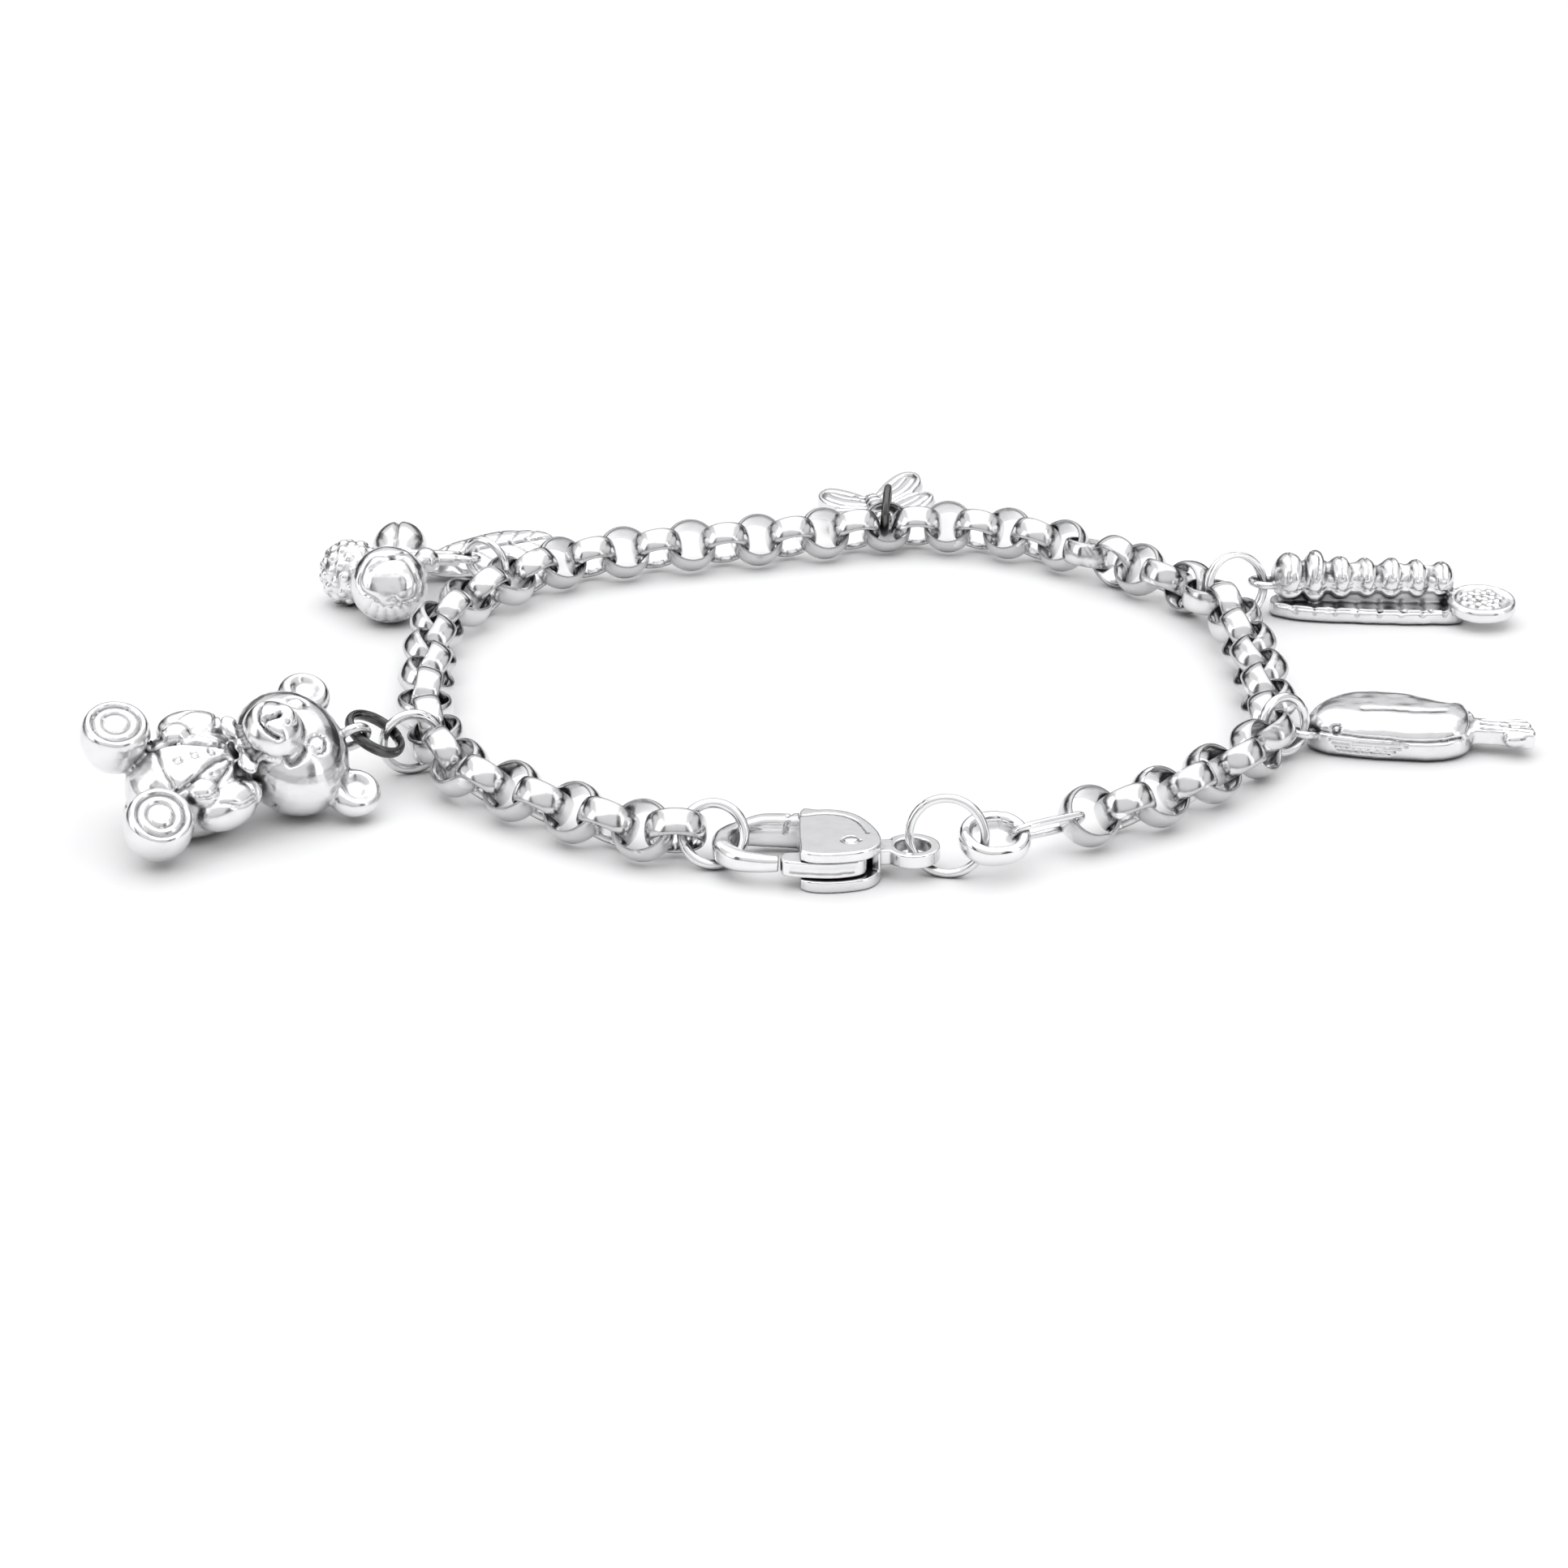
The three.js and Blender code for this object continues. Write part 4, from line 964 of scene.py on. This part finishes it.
bfly_m = np.array(Matrix.Translation((8.2, 48.5, 0)) @ Matrix.Rotation(math.radians(11), 4, "Z") @ Matrix.Rotation(math.radians(-9), 4, "Y") @ Matrix.Rotation(math.radians(4), 4, "X"))
bfly_parts = [wing(1), wing(-1), ball((0, 3.0, 0.75), (0.85, 3.3, 0.85)), ball((0, 0.25, 0.95), (0.75, 0.7, 0.7)),
              wire_ring((0, -1.2, 1.75), (0, 0.5, 0.87), 0.95, 0.3, seam_cut=0.0, seg=40, sides=14),
              tube([(0, 0.6, 0.8), (0, -0.45, 1.35)], 0.38, 8, 14)]
bfly_passes = [g for s in (1, -1) for g in (
    groove([(s * 0.9, 1.2, 1.0), (s * 2.4, 0.9, 1.4), (s * 3.9, 1.4, 1.8), (s * 3.4, 2.6, 1.7), (s * 1.2, 3.0, 1.2)], 0.13, 0.16, (0, 0, 1)),
    groove([(s * 1.0, 3.8, 1.1), (s * 2.6, 4.2, 1.5), (s * 3.7, 5.4, 1.8), (s * 3.0, 6.6, 1.6), (s * 1.4, 5.8, 1.3)], 0.13, 0.16, (0, 0, 1)),
    groove([(s * 0.8, 3.2, 1.1), (s * 2.2, 3.4, 1.4), (s * 3.2, 3.4, 1.7)], 0.13, 0.14, (0, 0, 1)),
    groove([(s * 0.9, 1.9, 1.2), (s * 2.2, 1.8, 1.4), (s * 3.2, 1.9, 1.7)], 0.09, 0.10, (0, 0, 1)),
    groove([(s * 1.1, 4.9, 1.2), (s * 2.2, 5.2, 1.5), (s * 3.0, 5.9, 1.7)], 0.09, 0.10, (0, 0, 1)))]
bfly_passes += [groove([(-0.9, y, 1.2), (0, y, 1.7), (0.9, y, 1.2)], 0.10, 0.12, (0, 0, 1)) for y in (1.0, 1.9, 2.8, 3.7, 4.6, 5.4)]
bfly_passes += [dimples(0.03, 1.2, 8)]
finish(cast("butterfly_v", bfly_parts, 0.085, CAST, smooth=3, passes=bfly_passes, transform=bfly_m, lift=0.0), "bracelet", "cast_silver", "butterfly")

# ---------------------------------------------------------------- segmented charm
base = [(36.2, 30.3), (38.6, 29.2), (41.5, 28.9), (44.5, 28.6), (47.5, 28.5), (49.9, 28.8), (50.2, 31.0), (49.6, 32.6), (46.5, 33.2), (43.5, 33.0), (40.5, 33.1), (37.8, 32.7), (36.2, 31.8)]
seg_parts = [plate(base, 0, 1.15, 0.2, 4), plate([(36.6, 30.6), (49.0, 30.2), (49.0, 31.6), (36.6, 31.8)], 0.9, 2.4, 0.1)]
seg_parts.append(tube([(36.6, 31.0, 2.85), (42.0, 30.95, 2.85), (48.9, 30.8, 2.75)], [1.15, 1.2, 1.0], 40, 24, tall=1.0, ends=0.08))
for i in range(7):
    q = i / 6
    seg_parts.append(ball((37.3 + q * 11.2, 31.0 - q * 0.2, 3.0 - 0.15 * q), ((1.25, 1.05, 1.15, 0.95, 1.1, 0.9, 1.0)[i], 1.85 - 0.25 * q, (1.75, 2.0, 1.55, 1.45, 1.45, 1.35, 1.2)[i]), (0, 0, (4, -5, 3, 6, -4, 2, -6)[i])))
dv, df = lathe([(0.001, -0.47), (1.9, -0.47), (2.25, -0.42), (2.35, -0.25), (2.35, 0.25), (2.25, 0.45), (2.05, 0.54), (1.85, 0.48), (1.7, 0.32), (0.001, 0.38)], 56)
disc_m = np.array(Matrix.Translation((51.3, 29.2, 1.45)) @ Matrix.Rotation(math.radians(8), 4, "X"))
seg_parts.append((apply(disc_m, dv * np.array([1.08, 1, 1])), df))
seg_parts += [wire_ring((35.45, 31.05, 2.45), (0.1, 0.1, 1), 0.95, 0.27, seam_cut=0.0, seg=40, sides=14), tube([(36.3, 31.0, 2.2), (37.6, 31.1, 2.2)], 0.58, 8, 14)]
_dn = np.array([0, -math.sin(math.radians(8)), math.cos(math.radians(8))])


def disc_pebbles(co, no):
    rel = co - np.array([51.3, 29.2, 1.45])
    h = rel @ _dn
    g = np.zeros(len(co))
    ax, ay = np.array([1.0, 0, 0]), np.cross(_dn, [1.0, 0, 0])
    u, w = rel @ ax, rel @ ay
    for i in range(26):
        r = 1.5 * math.sqrt((i + 0.5) / 26)
        t = i * 2.39996
        g = np.maximum(g, 0.20 * np.sqrt(np.clip(1 - ((u - r * math.cos(t)) ** 2 + (w - r * math.sin(t)) ** 2) / 0.30 ** 2, 0, 1)))
    return g * (h > 0.15) * (np.hypot(u, w) < 1.8)


seg_passes = [disc_pebbles,
              *[groove([(38.2 + q * 1.867, 28.6, 1.9), (38.2 + q * 1.867, 29.6, 3.4), (38.2 + q * 1.867, 31.0, 4.4), (38.2 + q * 1.867, 32.4, 3.4)], 0.16, 0.18) for q in range(6)],
              groove([(36.4, 29.9, 1.2), (38.8, 28.9, 1.2), (42, 28.6, 1.2), (46, 28.3, 1.2), (49.6, 28.6, 1.2)], 0.14, 0.12),
              *[groove([(37.3 + k * 1.6, 28.2, 0.9), (37.4 + k * 1.6, 29.2, 1.2), (37.5 + k * 1.6, 30.2, 1.3)], 0.14, 0.10) for k in range(8)],
              groove([(36.8, 29.3, 2.1), (40, 29.2, 2.1), (44, 29.1, 2.1), (48.6, 29.3, 2.0)], 0.22, 0.22),
              *[groove([(37.6 + k * 1.87, 29.5, 3.0), (38.2 + k * 1.87, 29.25, 2.7), (38.7 + k * 1.87, 29.5, 3.2)], 0.10, 0.12) for k in range(6)],
              *[groove([(37.2 + k * 1.87, 29.3, 3.3), (37.3 + k * 1.87, 30.2, 4.2), (37.2 + k * 1.87, 31.4, 4.5)], 0.10, 0.12) for k in range(7)],
              dimples(0.09, 1.1, 11), dimples(0.04, 2.4, 12)]
finish(cast("segmented_charm_v", seg_parts, 0.10, CAST, smooth=3, passes=seg_passes, lift=0.0), "bracelet", "cast_silver", "segmented_charm")

# ---------------------------------------------------------------- whale
whale = [(35.2, 5.9), (36.0, 8.3), (37.8, 10.0), (40.0, 10.4), (42.6, 9.9), (45.0, 8.4), (46.6, 7.4), (46.4, 5.2), (45.2, 3.7), (42.8, 3.2), (39.5, 3.6), (36.4, 4.4)]
wh_parts = [pillow(whale, 0.0, 1.0, 1.5, 2.95, 0.55, 2.1),
            plate([(45.7, 5.0), (48.0, 4.6), (50.0, 3.9), (50.3, 5.0), (49.9, 6.6), (48.0, 6.5), (46.0, 7.0)], 0.7, 1.9, 0.15, 4),
            ball((49.2, 4.5, 1.35), (1.1, 0.7, 0.6), (0, 0, 25)), ball((49.2, 6.0, 1.35), (1.1, 0.7, 0.6), (0, 0, -15)),
            tube([(45.0, 6.0, 1.4), (47.0, 5.6, 1.4), (49.0, 5.3, 1.35)], [1.1, 0.75, 0.7], 16, 18, ends=0.1),
            ball((45.3, 7.0, 2.2), (0.9, 0.8, 0.6)), ball((44.4, 4.3, 1.9), (1.2, 0.6, 0.5), (0, 0, 20)),
            wire_ring((34.68, 5.0, 1.6), (0.2, 0.2, 1), 0.92, 0.28, seam_cut=0.0, seg=40, sides=14)]
wh_passes = [
    groove([(35.1, 5.9, 1.75), (36.2, 4.6, 1.75), (38.0, 3.9, 1.7), (40.5, 3.45, 1.6), (42.8, 3.2, 1.55), (45.2, 3.9, 1.6)], 0.13, 0.24),
    *[groove([(36.5 + k * 0.2, 4.4 - k * 0.05, 1.38 - k * 0.26), (39.0, 3.7 - k * 0.02, 1.34 - k * 0.26), (41.6 - k * 0.4, 3.35, 1.28 - k * 0.26)], 0.08, 0.13) for k in range(4)],
    groove(ring_pts((36.9, 4.45, 2.1), 0.30, "y"), 0.09, 0.20), groove([(36.9, 4.3, 2.1), (36.95, 4.5, 2.1)], 0.14, -0.10),
    groove([(45.9, 7.6, 2.2), (46.2, 6.2, 2.3), (45.9, 4.2, 1.9)], 0.20, 0.34),
    groove([(35.6, 6.8, 2.6), (36.6, 8.4, 2.7), (38.2, 9.3, 2.8)], 0.12, 0.12), groove([(50.4, 5.3, 1.3), (49.2, 5.3, 1.9), (48.2, 5.3, 1.9)], 0.16, 0.30),
    groove([(37.6, 9.4, 2.4), (40.0, 9.7, 2.6), (43.0, 8.8, 2.5)], 0.20, 0.12), groove([(39.0, 6.0, 2.9), (42.0, 5.6, 2.9), (44.2, 5.6, 2.7)], 0.30, 0.08),
    *[groove([(46.8, 4.95 + k * 0.42, 1.95), (48.6, 4.7 + k * 0.5, 1.95), (50.2, 4.3 + k * 0.6, 1.8)], 0.08, 0.16) for k in range(4)],
    dimples(0.08, 0.8, 13), dimples(0.03, 2.0, 14)]
finish(cast("whale_charm_v", wh_parts, 0.10, CAST, smooth=4, passes=wh_passes), "bracelet", "cast_silver", "whale_charm")


# ---------------------------------------------------------------- stage
def stage_material(name, color, rough):
    mat = bpy.data.materials.new(name)
    nt, N, L = nodes_of(mat)
    b = N["Principled BSDF"]
    b.inputs["Base Color"].default_value = (*color, 1)
    b.inputs["Roughness"].default_value = rough
    return mat


bpy.ops.mesh.primitive_plane_add(size=4.0, location=(0, 0.6, 0))
floor = bpy.context.object
floor.name = "floor"
floor.data.materials.append(stage_material("floor_white", (0.93, 0.93, 0.93), 0.6))
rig.stage(floor)


def area(name, loc, target, size, power, size_y=None):
    ld = bpy.data.lights.new(name, "AREA")
    ld.energy = power
    ld.size = size
    if size_y:
        ld.shape = "RECTANGLE"
        ld.size_y = size_y
    ob = bpy.data.objects.new(name, ld)
    ob.location = loc
    ob.rotation_euler = (Vector(target) - Vector(loc)).to_track_quat("-Z", "Y").to_euler()
    bpy.context.scene.collection.objects.link(ob)
    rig.stage(ob)
    return ob


area("softbox_top", (0.0, 0.05, 0.62), (0, 0, 0), 1.60, 4.6, 1.20)
area("softbox_left", (-0.60, -0.25, 0.30), (0, 0, 0), 0.30, 0.55, 0.45)
area("softbox_right", (0.55, -0.35, 0.26), (0, 0, 0), 0.16, 0.30, 0.50)

# the room: pale overhead, darker towards the floor's edge, with two dark flags
world = bpy.data.worlds.new("studio")
bpy.context.scene.world = world
world.use_nodes = True
wt = world.node_tree
bg = wt.nodes["Background"]
bg.inputs["Strength"].default_value = 1.0
wc = wt.nodes.new("ShaderNodeTexCoord")
ws = wt.nodes.new("ShaderNodeSeparateXYZ")
wt.links.new(wc.outputs["Generated"], ws.inputs["Vector"])
wr = wt.nodes.new("ShaderNodeValToRGB")
wr.color_ramp.elements[0].position = 0.0
wr.color_ramp.elements[0].color = (0.45, 0.45, 0.455, 1)
wr.color_ramp.elements[1].position = 1.0
wr.color_ramp.elements[1].color = (0.85, 0.86, 0.87, 1)
for pos, g in ((0.06, 0.30), (0.14, 0.62), (0.30, 0.80), (0.60, 0.82)):
    e = wr.color_ramp.elements.new(pos)
    e.color = (g, g, g * 1.01, 1)
wt.links.new(ws.outputs["Z"], wr.inputs["Fac"])
# a long dark flag low at the back and a narrow one at each front corner
wb = wt.nodes.new("ShaderNodeValToRGB")
wb.color_ramp.elements[0].position = 0.0
wb.color_ramp.elements[0].color = (0.03, 0.03, 0.03, 1)
wb.color_ramp.elements[1].position = 0.34
wb.color_ramp.elements[1].color = (1, 1, 1, 1)
e = wb.color_ramp.elements.new(0.22)
e.color = (0.04, 0.04, 0.04, 1)
wt.links.new(ws.outputs["Z"], wb.inputs["Fac"])
wy = wt.nodes.new("ShaderNodeMapRange")
wy.inputs["From Min"].default_value = 0.05
wy.inputs["From Max"].default_value = 0.30
wt.links.new(ws.outputs["Y"], wy.inputs["Value"])
wm = wt.nodes.new("ShaderNodeMix")
wm.data_type = "RGBA"
wm.blend_type = "MULTIPLY"
wt.links.new(wy.outputs["Result"], wm.inputs["Factor"])
wt.links.new(wr.outputs["Color"], wm.inputs[6])
wt.links.new(wb.outputs["Color"], wm.inputs[7])
wx = wt.nodes.new("ShaderNodeMath")
wx.operation = "ABSOLUTE"
wt.links.new(ws.outputs["X"], wx.inputs[0])
wf = wt.nodes.new("ShaderNodeValToRGB")
wf.color_ramp.elements[0].position = 0.0
wf.color_ramp.elements[0].color = (1, 1, 1, 1)
wf.color_ramp.elements[1].position = 1.0
wf.color_ramp.elements[1].color = (1, 1, 1, 1)
for pos, g in ((0.56, 1.0), (0.62, 0.12), (0.76, 0.12), (0.82, 1.0)):
    e = wf.color_ramp.elements.new(pos)
    e.color = (g, g, g, 1)
wt.links.new(wx.outputs[0], wf.inputs["Fac"])
wn = wt.nodes.new("ShaderNodeMix")
wn.data_type = "RGBA"
wn.blend_type = "MULTIPLY"
wn.inputs["Factor"].default_value = 1.0
wt.links.new(wm.outputs[2], wn.inputs[6])
wt.links.new(wf.outputs["Color"], wn.inputs[7])
wt.links.new(wn.outputs[2], bg.inputs["Color"])

cam_data = bpy.data.cameras.new("camera")
cam_data.sensor_width = 36.0
cam_data.lens = 78.37
cam_data.clip_start = 0.01
cam_data.clip_end = 10
cam = bpy.data.objects.new("camera", cam_data)
cam.location = ((0 + SHIFT[0]) * MM, (-205.55 + SHIFT[1]) * MM, 91.52 * MM)
aim = Vector((0, math.cos(math.radians(24)), -math.sin(math.radians(24))))
cam.rotation_euler = aim.to_track_quat("-Z", "Y").to_euler()
bpy.context.scene.collection.objects.link(cam)
bpy.context.scene.camera = cam
bpy.context.scene.view_settings.view_transform = "Standard"

SIZE_AFTER = [list(v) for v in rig.bounds()]
with open("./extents.json", "w") as fh:
    json.dump({"before": SIZE_BEFORE, "after": SIZE_AFTER}, fh)
